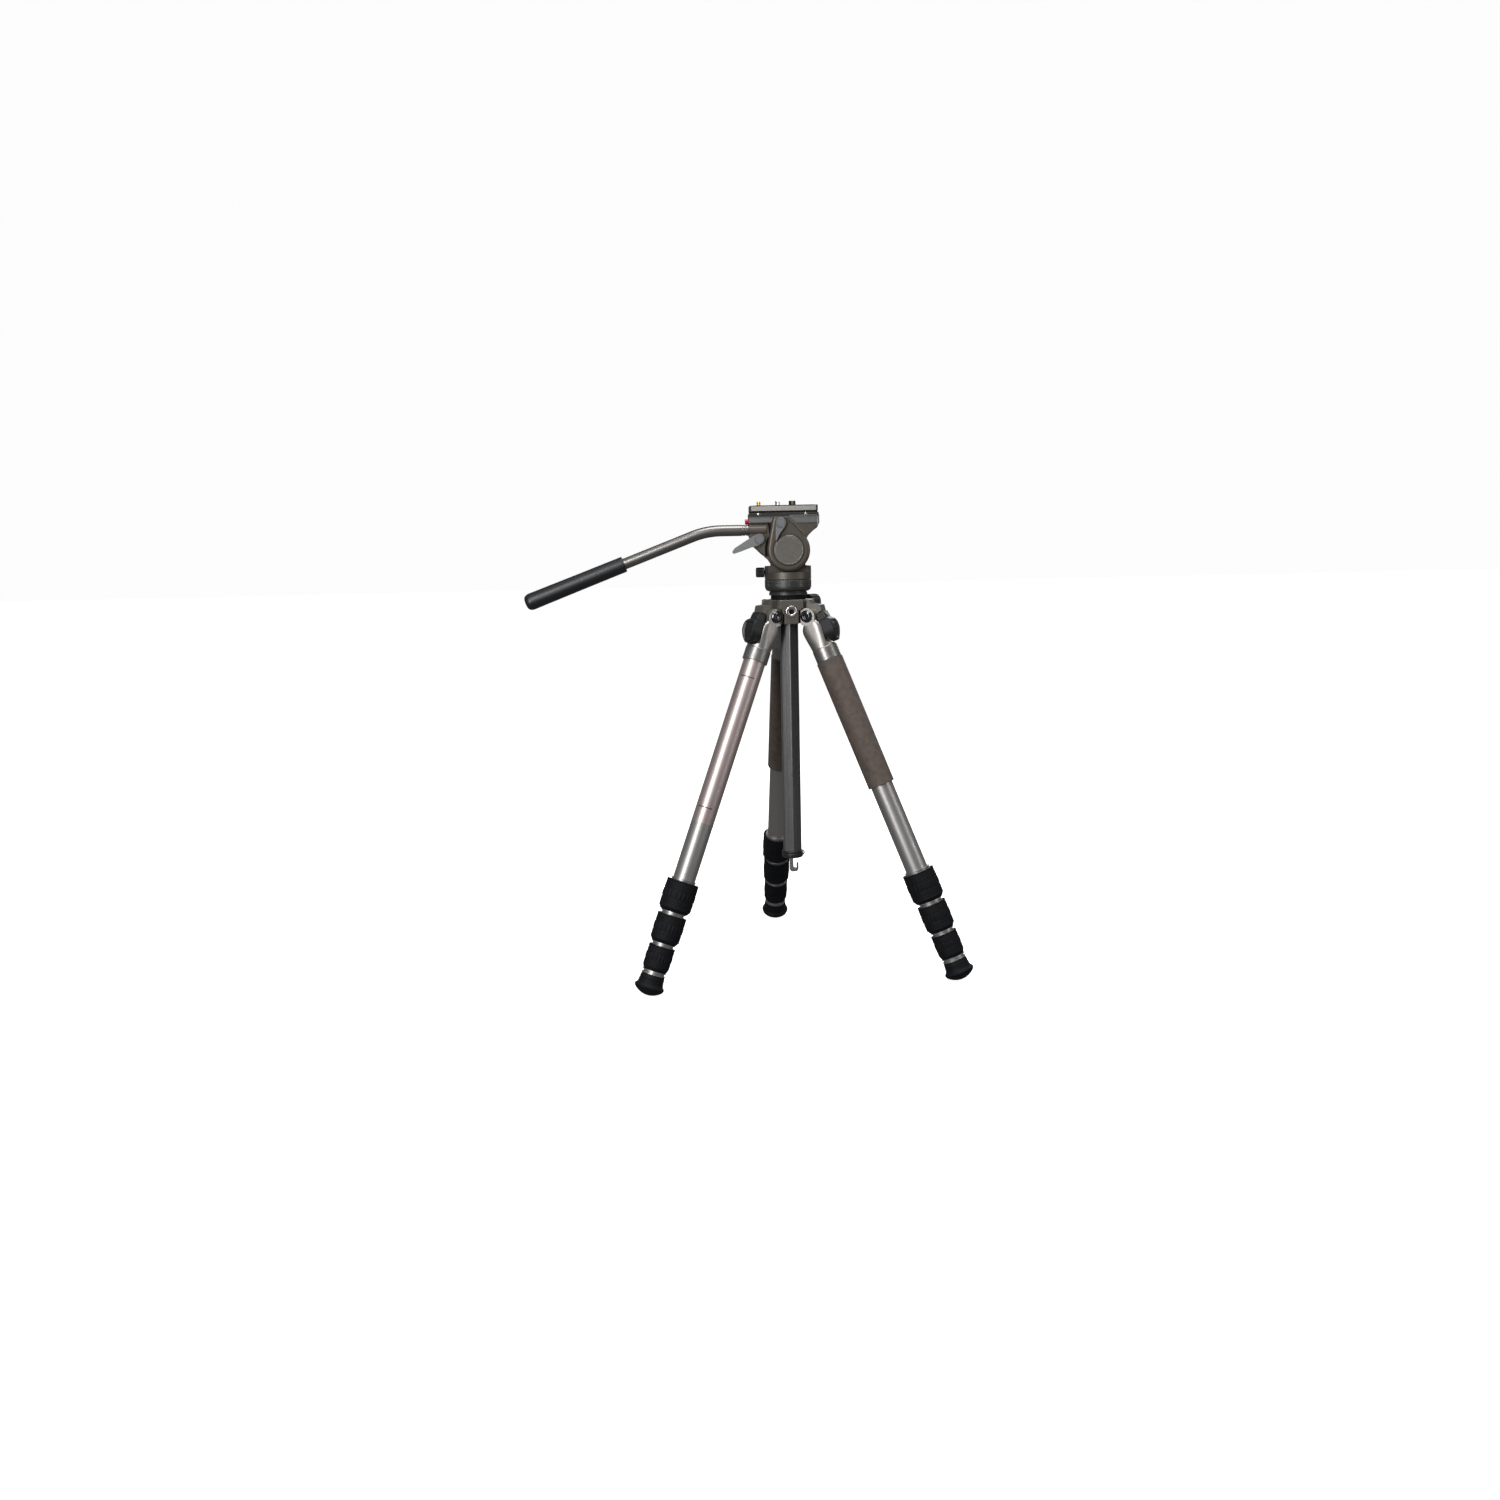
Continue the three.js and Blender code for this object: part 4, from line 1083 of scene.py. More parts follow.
def socket_shade_plug_shell():
    """A black plug deep in the accessory socket's hole, with a hex recess: painted shade for the dark inside
    of the hole.
    """
    radius = SOCKET_HOLE + 0.6
    cup = turned([(0, 24.2), (radius, 24.2), (radius, 30.2), (2.6, 30.2), (2.6, 26), (0, 26)], 6)
    return spun(shifted(along_x(cup), z=SOCKET_LEVEL), FACE_ANGLES["rear"])


def ribbed(ribs, depth, low, high):
    """Relief for a knob: upright ribs between two heights."""
    def relief(angle, height, radius):
        if height < low or height > high or radius < 3.6:
            return radius
        return radius - depth * (0.5 - 0.5 * math.cos(ribs * angle)) ** 0.7
    return relief


def knob_shell(radius, start, end, shank, depth, ribs):
    """A ribbed knob with a domed end, built along Z, with its shank below."""
    outside = [
        (0, start - depth), (shank, start - depth), (shank, start), (radius - 0.8, start),
        (radius, start + 0.8), (radius, end - 1.4), (radius - 0.5, end - 0.5), (radius - 1.6, end),
        (radius - 2.4, end - 0.35), (0, end - 0.35),
    ]
    relief = ribbed(ribs, 0.7, start + 1.2, end - 0.9)
    return turned(stepped(outside, 1.1), ribs * 8, relief)


def column_shell():
    """The six-sided column with a fine groove along each side."""
    outline = hexagon(COLUMN_CORNER + 0.15, 1.3)
    core = prism(outline, COLUMN_END, HUB_TOP, 0.3)
    grooves = []
    for index in range(6):
        turn = LEG_ANGLES["rear"] + 30 + 60 * index
        groove = block((11.15, -0.45, COLUMN_END - 1), (13, 0.45, HUB_TOP + 1), 0)
        grooves.append(spun(groove, turn))
    return carved(core, cuts=grooves)


def column_plate_shell():
    """The rubber-faced plate under the head, with a scalloped rim."""
    def relief(angle, height, radius):
        return radius - 0.5 * (0.5 - 0.5 * math.cos(30 * angle)) if radius > 22 else radius
    outline = [
        (0, 6), (8.6, 6), (8.6, 21.8), (22.2, 21.8), (22.7, 22.4), (22.7, 25.8), (22.2, 26.4), (0, 26.4),
    ]
    return turned(stepped(outline, 1.0), 240, relief)


def bottom_cap_shells():
    """The cap under the column and its small strap lug."""
    profile = eased([
        (0, -319), (12.6, -319), (13.9, -317.6), (13.9, -313.6), (13.3, -313.2), (13.3, -312.4),
        (13.9, -312), (13.9, -310.3), (8.6, -310.3), (8.6, -296), (0, -296),
    ], 0.5)
    level = -313.7
    hole = shifted(along_y(rod(1.2, -4, 4, 0, 20)), x=14, z=level)
    lug = carved(slab(arc((13, level), 3.2, 0, 345, 23), -2, 2, 0.5), cuts=[hole])
    return [turned(profile, 72), lug]


def hook_shells():
    """The weight hook: a flat bent hook on a sprung spindle."""
    eye, tip = -319.5, -339.5
    outline = [
        (-4.2, eye), (-4.2, tip + 3), (-2.9, tip + 0.8), (-1.4, tip), (4.0, tip), (6.4, tip + 1.2),
        (7.6, tip + 3.8), (7.6, eye - 8.2), (7.0, eye - 7.5), (5.6, eye - 7.5), (5.1, eye - 8.2),
        (5.2, eye - 14.0), (4.2, eye - 15.2), (1.6, eye - 15.2), (0.6, eye - 14.2), (0.6, eye),
    ]
    profile = [(0, eye - 0.4), (2.8, eye - 0.4), (2.8, -272), (5, -272), (5, -268), (0, -268)]
    return [slab(outline, -2, 2, 0.5), turned(eased(profile, 0.3), 40)]


def stud_shell():
    """The screw that joins the column to the head."""
    return turned(eased([(0, 0), (7.5, 0), (7.5, 5.6), (4.76, 5.6), (4.76, 33), (0, 33)], 0.3), 40)


# ------------------------------------------------------------------ head

PAN_RADIUS = 30.0
TILT_LEVEL = 84.3
DRUM_RADIUS = 27.5
ARM_INNER, ARM_OUTER = 15.7, 30.5
ARM_SKIN = 28.9  # the arm's face behind its raised pads
PLATFORM_TOP, BAND_FLOOR = 131.0, 125.6
DISC_RADIUS, DISC_FACE = 19.0, 31.2
TILT_PIVOT = (-9.4, 118.6)
CLAMP_PIVOT = (-37.1, 98.8)
HANDLE_Y, HANDLE_Z, HANDLE_RADIUS = -23.0, 110.1, 7.0
HANDLE_DROP = 20.5
PLATE_LEFT, PLATE_RIGHT, PLATE_HALF = -48.5, 38.0, 25.0
PLATE_FLOOR, PLATE_TOP = 133.2, 140.5
BODY_REAR, BODY_FRONT = -49.5, 38.7
BUTTON_Y, BUTTON_Z = -10, 120.7
# Where the two camera screws and the video pin stand along the plate.
QUARTER_X, LARGER_X, PIN_X = -11.8, 7.0, -36.1
SCREW_TOP = 146.6


def pan_base_shells():
    """The fluid base: a waisted neck, a bright flare and the scale ring."""
    outline = eased([
        (0, 26.7), (24.2, 26.7), (24.7, 27.2), (24.7, 30.2), (23.9, 30.8), (23.9, 31.9), (26.0, 32.2),
        (28.2, 33.4), (29.4, 35.4), (29.5, 36.6), (PAN_RADIUS, 37.0), (PAN_RADIUS, 46.3), (29.6, 46.8),
        (0, 46.8),
    ], 0.35)
    return [turned(outline, 120), rod(12, 46, 58)]


def scale_shells(count):
    """Thin raised marks round the scale ring, longer at every sixth."""
    marks = []
    for index in range(count):
        low, half = (42.6, 0.28) if index % 6 == 0 else (44.4, 0.2)
        mark = block((PAN_RADIUS - 0.2, -half, low), (PAN_RADIUS + 0.07, half, 46.2), 0)
        marks.append(spun(mark, 360 * index / count))
    return marks


def numeral_shell(text, degrees):
    """A numeral wrapped round the scale ring."""
    curve = bpy.data.curves.new("numeral", "FONT")
    curve.body = text
    curve.size = 3.4
    curve.align_x = "CENTER"
    curve.extrude = 0.06
    source = bpy.data.objects.new("numeral", curve)
    bpy.context.scene.collection.objects.link(source)
    bpy.context.view_layer.update()
    mesh = source.evaluated_get(bpy.context.evaluated_depsgraph_get()).to_mesh()
    shell = bmesh.new()
    shell.from_mesh(mesh)
    for vert in shell.verts:
        angle = vert.co.x / PAN_RADIUS
        reach = PAN_RADIUS + 0.01 + vert.co.z
        vert.co = Vector((reach * math.cos(angle), reach * math.sin(angle), 39.0 + vert.co.y))
    bpy.data.objects.remove(source)
    bpy.data.curves.remove(curve)
    return spun(shell, degrees)


def pan_housing_shell():
    """The pan housing: a skirt that makes room for the tilt drums, and the upright between them."""
    profile = [(0, 47.1), (29.6, 47.1), (PAN_RADIUS, 47.5), (PAN_RADIUS, 64.5), (0, 64.5)]
    skirt = turned(eased(profile, 1.2), 120)
    half = 15.4
    upright = slab([(22, 58), *arc((0, TILT_LEVEL), 22, 0, 180, 32), (-22, 58)], -half, half, 0.8)
    cuts = []
    for low, high in ((-40, -half), (half, 40)):
        cuts.append(shifted(along_y(rod(28.0, low, high, 0, 120)), z=TILT_LEVEL))
        cuts.append(block((-40, low, 56.2), (40, high, 80), 0))
    return carved(skirt, joins=[upright], cuts=cuts)


def arm_outline():
    """The tilt body seen from the side: drum, rear flank, top and front corner."""
    drum = arc((0, TILT_LEVEL), DRUM_RADIUS - 2, 214, 392, 44)
    return [
        (BODY_REAR, PLATFORM_TOP), (BODY_REAR, 103.5), (-44.5, 90), (-42, 87.8), *drum, (24.9, 103.2),
        (27.5, 105.8), (36.3, 111.6), (BODY_FRONT, 116.5), (BODY_FRONT, PLATFORM_TOP),
    ]


def arm_cuts():
    """The recess round each drum, and the grooves that part the drum from the handle's block."""
    cuts = [
        shifted(along_y(rod(DISC_RADIUS + 0.5, -40, -DISC_FACE + 2.6, 0, 96)), z=TILT_LEVEL),
        shifted(along_y(rod(DISC_RADIUS + 0.5, DISC_FACE - 2.2, 40, 0, 96)), z=TILT_LEVEL),
    ]
    gap = [(-21.0, 119.4), (-26.0, 119.4)]
    gap += arc((0, TILT_LEVEL), DRUM_RADIUS + 3, 142, 195, 16) + arc((0, TILT_LEVEL), 22, 200, 142, 12)
    for side in (-1, 1):
        cuts.append(slab(gap, *sorted((side * 40, side * 21)), 0))
        low, high = sorted((side * 40, side * 25))
        cuts.append(block((-60, low, 116.5), (-22, high, 118.9), 0))
    return cuts


def tilt_body_shell():
    """The tilt body: two arms, the deck between them and the plate's dovetail channel."""
    arms = [slab(arm_outline(), *sorted((side * ARM_INNER, side * ARM_SKIN)), 0.8) for side in (-1, 1)]
    outline = [
        (BODY_REAR, 110.6), (35, 110.6), (BODY_FRONT, 116.5), (BODY_FRONT, PLATFORM_TOP),
        (BODY_REAR, PLATFORM_TOP),
    ]
    deck = slab(outline, -ARM_INNER - 3, ARM_INNER + 3, 0)
    section = [
        (-20.5, BAND_FLOOR), (20.5, BAND_FLOOR), (17.7, 130.7), (17.7, 133), (-17.7, 133), (-17.7, 130.7),
    ]
    channel = moved(slab(section, -60, 60, 0), Matrix.Rotation(math.pi / 2, 4, "Z"))
    button_hole = shifted(along_x(rod(3.6, -60, -40, 0, 32)), y=BUTTON_Y, z=BUTTON_Z)
    socket = shifted(along_x(rod(HANDLE_RADIUS - 0.4, -60, -30, 0, 40)), y=HANDLE_Y, z=HANDLE_Z)
    whole = carved(deck, joins=arms, cuts=[channel, button_hole])
    return carved(whole, cuts=[*arm_cuts(), socket])


def teardrop_outline(inwards):
    """The raised teardrop from the drum up to the tilt lock, moved inwards."""
    return hull_of_circles((0, TILT_LEVEL), DRUM_RADIUS - inwards, TILT_PIVOT, 12.0 - inwards, 30)


def pad_shells(side):
    """What stands proud on one arm: the teardrop round the drum, the handle block and the front cheek."""
    groove = turned([(19.7, 29.6), (20.5, 29.6), (20.5, 33), (19.7, 33)], 120)
    teardrop = carved(
        pillow(teardrop_outline, ARM_INNER + 0.1, ARM_OUTER, 4.6, 8),
        cuts=[
            block((-40, 0, BAND_FLOOR), (40, 40, 140), 0),
            shifted(along_y(rod(DISC_RADIUS + 0.45, 22, 40, 0, 96)), z=TILT_LEVEL),
            shifted(along_y(groove), z=TILT_LEVEL),
        ],
    )
    rear = [
        (-49.3, 116.2), (-49.3, 103.5), (-44.4, 90.2), (-41.9, 88), (-32.4, 78.6),
        *arc((0, TILT_LEVEL), DRUM_RADIUS + 2.8, 191, 151, 12), (-27.2, 116.2),
    ]
    boss = along_x(rod(8.0, -49.2, -27.6, 0.8, 64))
    cheek = [
        (2.4, 125.2), (22.2, 102.6), (24.6, 103.6), (27.4, 106.2), (35.8, 111.9), (37.8, 116.6),
        (37.8, 125.2),
    ]
    shells = [
        teardrop,
        slab(rear, 20, ARM_OUTER - 0.9, 0.9, 4),
        shifted(boss, y=-HANDLE_Y, z=HANDLE_Z - 0.5),
        slab(cheek, ARM_SKIN - 3, ARM_OUTER - 0.6, 0.7),
    ]
    if side < 0:
        for shell in shells:
            moved(shell, Matrix.Scale(-1, 4, (0, 1, 0)))
            bmesh.ops.reverse_faces(shell, faces=shell.faces)
    return shells


def panel_shells():
    """The lighter raised panels: the strip above the handle and the framed panel at the front."""
    strip = [(-48.6, 124.9), (-18.6, 124.9), (-21.4, 119.0), (-48.6, 119.0)]
    frame_outline = [(1.2, 127.9), (36.2, 127.9), (36.2, 118.2), (9.9, 118.2)]
    hollow = [(3.9, 126.8), (35.1, 126.8), (35.1, 119.2), (10.7, 119.2)]
    end = [(36.6, 128), (39.3, 128), (39.3, 117.4), (37.4, 114.6), (36.6, 114.6)]
    line = [(-49.4, 126.1), (38.4, 126.1), (38.4, 125.4), (-49.4, 125.4)]
    return [
        slab(strip, -ARM_OUTER + 0.2, -26, 0.7, 3),
        carved(
            slab(frame_outline, -ARM_OUTER - 0.25, -26, 0.35),
            cuts=[slab(hollow, -40, -ARM_OUTER + 0.25, 0)],
        ),
        slab(end, -30.2, 30.2, 0.6),
        slab(line, -ARM_OUTER - 0.1, -29, 0.15),
    ]


def ridge_shells():
    """Two fine raised ribs along the teardrop's front flank, in the lighter panel paint: real ribs whose
    lighter colour is a painted highlight along the flank's edge.
    """
    ribs = []
    for start, end in (((1.7, 125.5), (20.9, 103.2)), ((-2.2, 125.5), (6.2, 118.2))):
        start, end = Vector(start), Vector(end)
        across = Vector((end.y - start.y, start.x - end.x)).normalized() * 0.35
        outline = [start + across, start - across, end - across, end + across]
        ribs.append(slab([tuple(point) for point in outline], -ARM_OUTER - 0.15, -27.5, 0.25))
    return ribs


def band_shells():
    """The dark rim under the plate and the fine rail on it, on both sides."""
    rim = [(-49.3, BAND_FLOOR), (38.5, BAND_FLOOR), (38.5, 131.2), (-49.3, 131.2)]
    rail = [(-49.0, 129.2), (38.3, 129.2), (38.3, 130.4), (-49.0, 130.4)]
    shells = []
    for side in (-1, 1):
        shells.append(slab(rim, *sorted((side * (ARM_OUTER - 0.1), side * 18.2)), 0.5))
        shells.append(slab(rail, *sorted((side * ARM_OUTER, side * ARM_OUTER * 0.95)), 0.2))
    return shells


def clamp_screw_shells():
    """The two small screws in the rim under the plate."""
    profile = eased([(0, 28), (1.6, 28), (1.6, 30.8), (0.9, 31.0), (0.8, 30.6), (0, 30.6)], 0.2)
    return [shifted(along_minus_y(turned(profile, 32)), x=x, z=129.6) for x in (-37.3, 22.6)]


def disc_shells():
    """The brushed cover over the tilt axis: a plain face with a fine turned line near its rim."""
    profile = eased([
        (0, 28.2), (DISC_RADIUS, 28.2), (DISC_RADIUS, 30.6), (18.4, DISC_FACE), (17.4, DISC_FACE),
        (17.2, 31.0), (16.8, 31.0), (16.6, DISC_FACE), (0, DISC_FACE),
    ], 0.15)
    return [shifted(along_minus_y(turned(profile, 120)), z=TILT_LEVEL)]


def disc_gap_shade_shells():
    """A black ring under the disc's rim: painted shade in the gap between the disc and its recess."""
    inner, outer = DISC_RADIUS - 0.6, DISC_RADIUS + 0.45
    profile = [(outer, 27.6), (outer, 30.0), (inner, 30.0), (inner, 27.6)]
    return [shifted(along_minus_y(turned(profile, 96)), z=TILT_LEVEL)]


def far_cover_shells():
    """The plain cover on the far side of the tilt axis."""
    profile = [(0, 27.8), (18.8, 27.8), (18.8, 29.8), (17.8, 30.4), (12, 30.4), (11.4, 29.9), (0, 29.9)]
    return [shifted(along_y(turned(eased(profile, 0.3), 96)), z=TILT_LEVEL)]


def lever_shells(pivot, outline, serrations=()):
    """A moulded lever: its arm, the teeth on its edge and the round hub with a grooved button."""
    arm = slab(outline, -35.4, -31.8, 0.9, 3)
    teeth = [shifted(along_y(rod(0.75, -34.9, -32.3, 0.2, 16)), x=x, z=z) for x, z in serrations]
    profile = eased([
        (0, 24.5), (3, 24.5), (3, 30.9), (6.5, 30.9), (6.5, 35.4), (6.0, 36.0), (5.7, 36.0), (5.5, 35.3),
        (5.1, 35.3), (4.9, 36.0), (0, 36.0),
    ], 0.2)
    return [arm, *teeth, shifted(along_minus_y(turned(profile, 64)), x=pivot[0], z=pivot[1])]


def tilt_lever_shells():
    """The tilt lock lever, hanging down."""
    x, z = TILT_PIVOT
    outline = [
        *arc(TILT_PIVOT, 6.3, -20, 185, 18), (x - 6.9, z - 8), (x - 6.9, z - 17), (x - 7.3, z - 21),
        (x - 6.8, z - 22.4), (x - 5.6, z - 21.6), (x - 3.2, z - 16), (x + 0.2, z - 10.5), (x + 4.4, z - 6.0),
    ]
    return lever_shells(TILT_PIVOT, eased(outline, 0.6, 2, closed=True))


def clamp_lever_shells():
    """The handle's clamp lever, with teeth along its lower edge."""
    x, z = CLAMP_PIVOT
    outline = [
        *arc(CLAMP_PIVOT, 6.4, -75, 115, 18), (x - 6.5, z + 4.2), (x - 16, z - 1.2), (x - 31, z - 10.6),
        (x - 34.2, z - 14.4), (x - 34.2, z - 17.0), (x - 32.0, z - 17.9), (x - 24, z - 15.4),
        (x - 13, z - 11.2), (x - 6.5, z - 9.6), (x - 1, z - 7.8),
    ]
    teeth = [(x - 12.5 - 2.1 * index, z - 10.7 - 0.72 * index) for index in range(8)]
    return lever_shells(CLAMP_PIVOT, eased(outline, 0.7, 2, closed=True), teeth)


def handle_path():
    """The handle's middle line: straight out of the head, then a gentle bend downwards."""
    drop = math.radians(HANDLE_DROP)
    bend, radius = -85.0, 105.0
    points = [Vector((x, HANDLE_Y, HANDLE_Z)) for x in (-58.5, -66, -75)]
    for step in range(17):
        angle = drop * step / 16
        points.append(Vector((
            bend - radius * math.sin(angle), HANDLE_Y, HANDLE_Z - radius * (1 - math.cos(angle)),
        )))
    heading = Vector((-math.cos(drop), 0, -math.sin(drop)))
    start = points[-1].copy()
    grip_from = start + heading * ((start.x + 208.5) / math.cos(drop))
    points += [start.lerp(grip_from, share) for share in (0.33, 0.66, 1.0)]
    points.append(grip_from + heading * 98)
    return points, grip_from, heading


def handle_shells():
    """The bent handle tube and the grooved collar where it enters the head."""
    points, _, _ = handle_path()
    profile = eased([
        (0, 30), (6.2, 30), (6.2, 49.8), (6.8, 50.2), (6.8, 53.4), (6.1, 53.7), (6.1, 54.5), (6.8, 54.8),
        (6.8, 57.4), (6.3, 57.8), (6.3, 58.6), (7.0, 58.9), (7.0, 62), (0, 62),
    ], 0.2)
    collar = shifted(along_minus_x(turned(profile, 64)), y=HANDLE_Y, z=HANDLE_Z)
    return [swept(points, HANDLE_RADIUS, 56), collar]


def grip_shell():
    """The rubber grip: slightly swelling, with a rounded end and shallow rings at its mouth."""
    _, start, heading = handle_path()
    outline = eased([
        (0, 100), (7.3, 100), (7.3, 0), (9.5, 0), (10.0, 0.6), (10.1, 5), (10.3, 60), (10.7, 118),
        (10.8, 126), (10.6, 129.0), (9.9, 131.4), (8.7, 133.3), (7.0, 134.5), (5.0, 135), (0, 135),
    ], 0.8)

    def relief(angle, height, radius):
        if radius < 9.8 or height < 6 or height > 126:
            return radius
        rings = 0.5 - 0.5 * math.cos(FULL_TURN * height / 3.2)
        return radius - 0.05 * rings * (0.5 + 0.5 * math.cos(16 * angle))

    shell = turned(stepped(outline, 1.3), 96, relief)
    turn = Vector((0, 0, 1)).rotation_difference(heading).to_matrix().to_4x4()
    return moved(shell, Matrix.Translation(start) @ turn)


def plate_shells():
    """The quick-release plate: a dark body with its dovetail."""
    section = [
        (-20, 126), (20, 126), (17.2, 130.4), (17.2, PLATE_FLOOR), (PLATE_HALF, PLATE_FLOOR),
        (PLATE_HALF, PLATE_TOP), (-PLATE_HALF, PLATE_TOP), (-PLATE_HALF, PLATE_FLOOR),
        (-17.2, PLATE_FLOOR), (-17.2, 130.4),
    ]
    body = moved(slab(section, -PLATE_RIGHT, -PLATE_LEFT, 0.6, 3), Matrix.Rotation(math.pi / 2, 4, "Z"))
    cuts = [
        shifted(rod(radius, 124, 145, 0, 40), x=x)
        for x, radius in ((QUARTER_X, 3.45), (LARGER_X, 4.95), (PIN_X, 2.85))
    ]
    cuts += [shifted(rod(radius, 120, 137, 0, 40), x=x) for x, radius in ((QUARTER_X, 7.3), (LARGER_X, 8.1))]
    for side in (-1, 1):
        low, high = side * 12 - 1.5, side * 12 + 1.5
        cuts.append(block((-34, low, PLATE_TOP - 1), (30, high, PLATE_TOP + 1), 0))
    return [carved(body, cuts=cuts)]


def plate_side_shells():
    """The lighter grained strips let into the plate's two long sides."""
    left, right = PLATE_LEFT + 2.2, PLATE_RIGHT - 2.4
    outline = [(left, 133.8), (right, 133.8), (right, 139.6), (left, 139.6)]
    faces = PLATE_HALF - 1, PLATE_HALF + 0.25
    return [slab(outline, *sorted(side * face for face in faces), 0.3) for side in (-1, 1)]


def plate_pad_shells():
    """Rubber strips on top of the plate that keep the camera from turning."""
    pads = []
    for side in (-1, 1):
        low, high = side * 18.5 - 3.4, side * 18.5 + 3.4
        pads.append(block((-44, low, PLATE_TOP - 0.6), (34, high, PLATE_TOP + 0.35), 0.3))
    return pads


def screw_shell(x, radius, head):
    """A camera screw with turned thread grooves and a slotted head below."""
    outline = [(0, 130), (head, 130), (head, 136.3), (radius, 136.4)]
    pitch = 1.2
    level = 137.0
    while level < SCREW_TOP - 1.2:
        outline += [(radius, level), (radius - 0.35, level + pitch / 2)]
        level += pitch
    outline += [(radius, SCREW_TOP - 0.7), (radius - 0.6, SCREW_TOP), (0, SCREW_TOP)]
    slotted = carved(turned(outline, 48), cuts=[block((-head - 1, -0.7, 129), (head + 1, 0.7, 131.4), 0)])
    return shifted(slotted, x=x)


def video_pin_shell():
    """The sprung pin that keeps a camera from turning."""
    outline = [
        (0, 133), (3.8, 133), (3.8, 135.6), (2.5, 135.6), (2.5, 142.6), (2.1, 142.8), (2.1, 143.4),
        (2.5, 143.6), (2.5, 145.6), (1.9, 146.4), (0, 146.4),
    ]
    return shifted(turned(eased(outline, 0.2), 40), x=PIN_X)


# ------------------------------------------------------------------ operators


class TRIPOD_OT_finishes(bpy.types.Operator):
    """Make the tripod's materials."""

    bl_idname = "tripod.finishes"
    bl_label = "Finishes"

    def execute(self, context):
        make_finishes(context.scene.tripod_finishes)
        return {"FINISHED"}


class TRIPOD_OT_legs(bpy.types.Operator):
    """Build the three telescopic legs with their castings, tubes, twist locks, sleeves and feet."""

    bl_idname = "tripod.legs"
    bl_label = "Legs"

    def execute(self, context):
        for side in SIDES:
            build_leg(side, context.scene.tripod_sizes)
        place = leg_place("left")
        piece("left_tube_film", [film_shell()], "film", "left_leg", place=place)
        piece("left_tube_print", print_shells(), "print", "left_leg", place=place)
        return {"FINISHED"}


class TRIPOD_OT_hub(bpy.types.Operator):
    """Build the hub, its accessory socket and its two knobs."""

    bl_idname = "tripod.hub"
    bl_label = "Hub"

    def execute(self, context):
        fitted("hub", [hub_shell()], "hub", "hub", "hub_paint")
        fitted("accessory_socket", [socket_shell()], "steel", "hub", "steel")
        # A black plug in the socket's hole, as painted shade for the hole's dark inside.
        piece("accessory_socket_shade_plug", [socket_shade_plug_shell()], "plastic", "hub")
        knob = shifted(along_x(knob_shell(10.6, 31.7, 46.5, 3.5, 17, 18)), z=KNOB_LEVEL)
        knob = spun(knob, FACE_ANGLES["left"])
        fitted("column_lock_knob", [knob], "plastic", "column_knob", "plastic")
        screw = shifted(along_x(knob_shell(5.2, 31.7, 36.0, 2.5, 11, 12)), z=KNOB_LEVEL)
        screw = spun(screw, FACE_ANGLES["right"])
        fitted("hub_side_screw", [screw], "plastic", "side_screw", "plastic")
        return {"FINISHED"}


class TRIPOD_OT_column(bpy.types.Operator):
    """Build the centre column with its plate, stud, bottom cap and weight hook."""

    bl_idname = "tripod.column"
    bl_label = "Centre column"

    def execute(self, context):
        fitted("centre_column", [column_shell()], "column", "column", "dark_anodised")
        fitted("column_plate", [column_plate_shell()], "rubber", "column", "plastic")
        fitted("mounting_stud", [stud_shell()], "steel", "column", "steel")
        fitted("column_bottom_cap", bottom_cap_shells(), "plastic", "column", "plastic")
        fitted("weight_hook", hook_shells(), "steel", "hook", "steel")
        return {"FINISHED"}


class TRIPOD_OT_pan(bpy.types.Operator):
    """Build the pan base with its scale, the pan housing, the pan lock knob and the tilt shaft."""

    bl_idname = "tripod.pan"
    bl_label = "Pan"

    def execute(self, context):
        fitted("pan_base", pan_base_shells(), "base", "column", "head_paint")
        marks = scale_shells(context.scene.tripod_sizes.scale_marks)
        piece("pan_scale_marks", marks, "marks", "column")
        numerals = [numeral_shell(str(30 * index), 270 + 30 * index) for index in range(12)]
        piece("pan_scale_numerals", numerals, "marks", "column")
        fitted("pan_housing", [pan_housing_shell()], "head", "pan", "head_paint")
        knob = shifted(along_minus_x(knob_shell(6.35, 30.3, 41.3, 2.5, 17, 14)), z=56.5)
        fitted("pan_lock_knob", [knob], "plastic", "pan_knob", "plastic")
        shaft = shifted(along_y(rod(6, -27.6, 27.6)), z=TILT_LEVEL)
        fitted("tilt_shaft", [shaft], "steel", "pan", "steel")
        return {"FINISHED"}


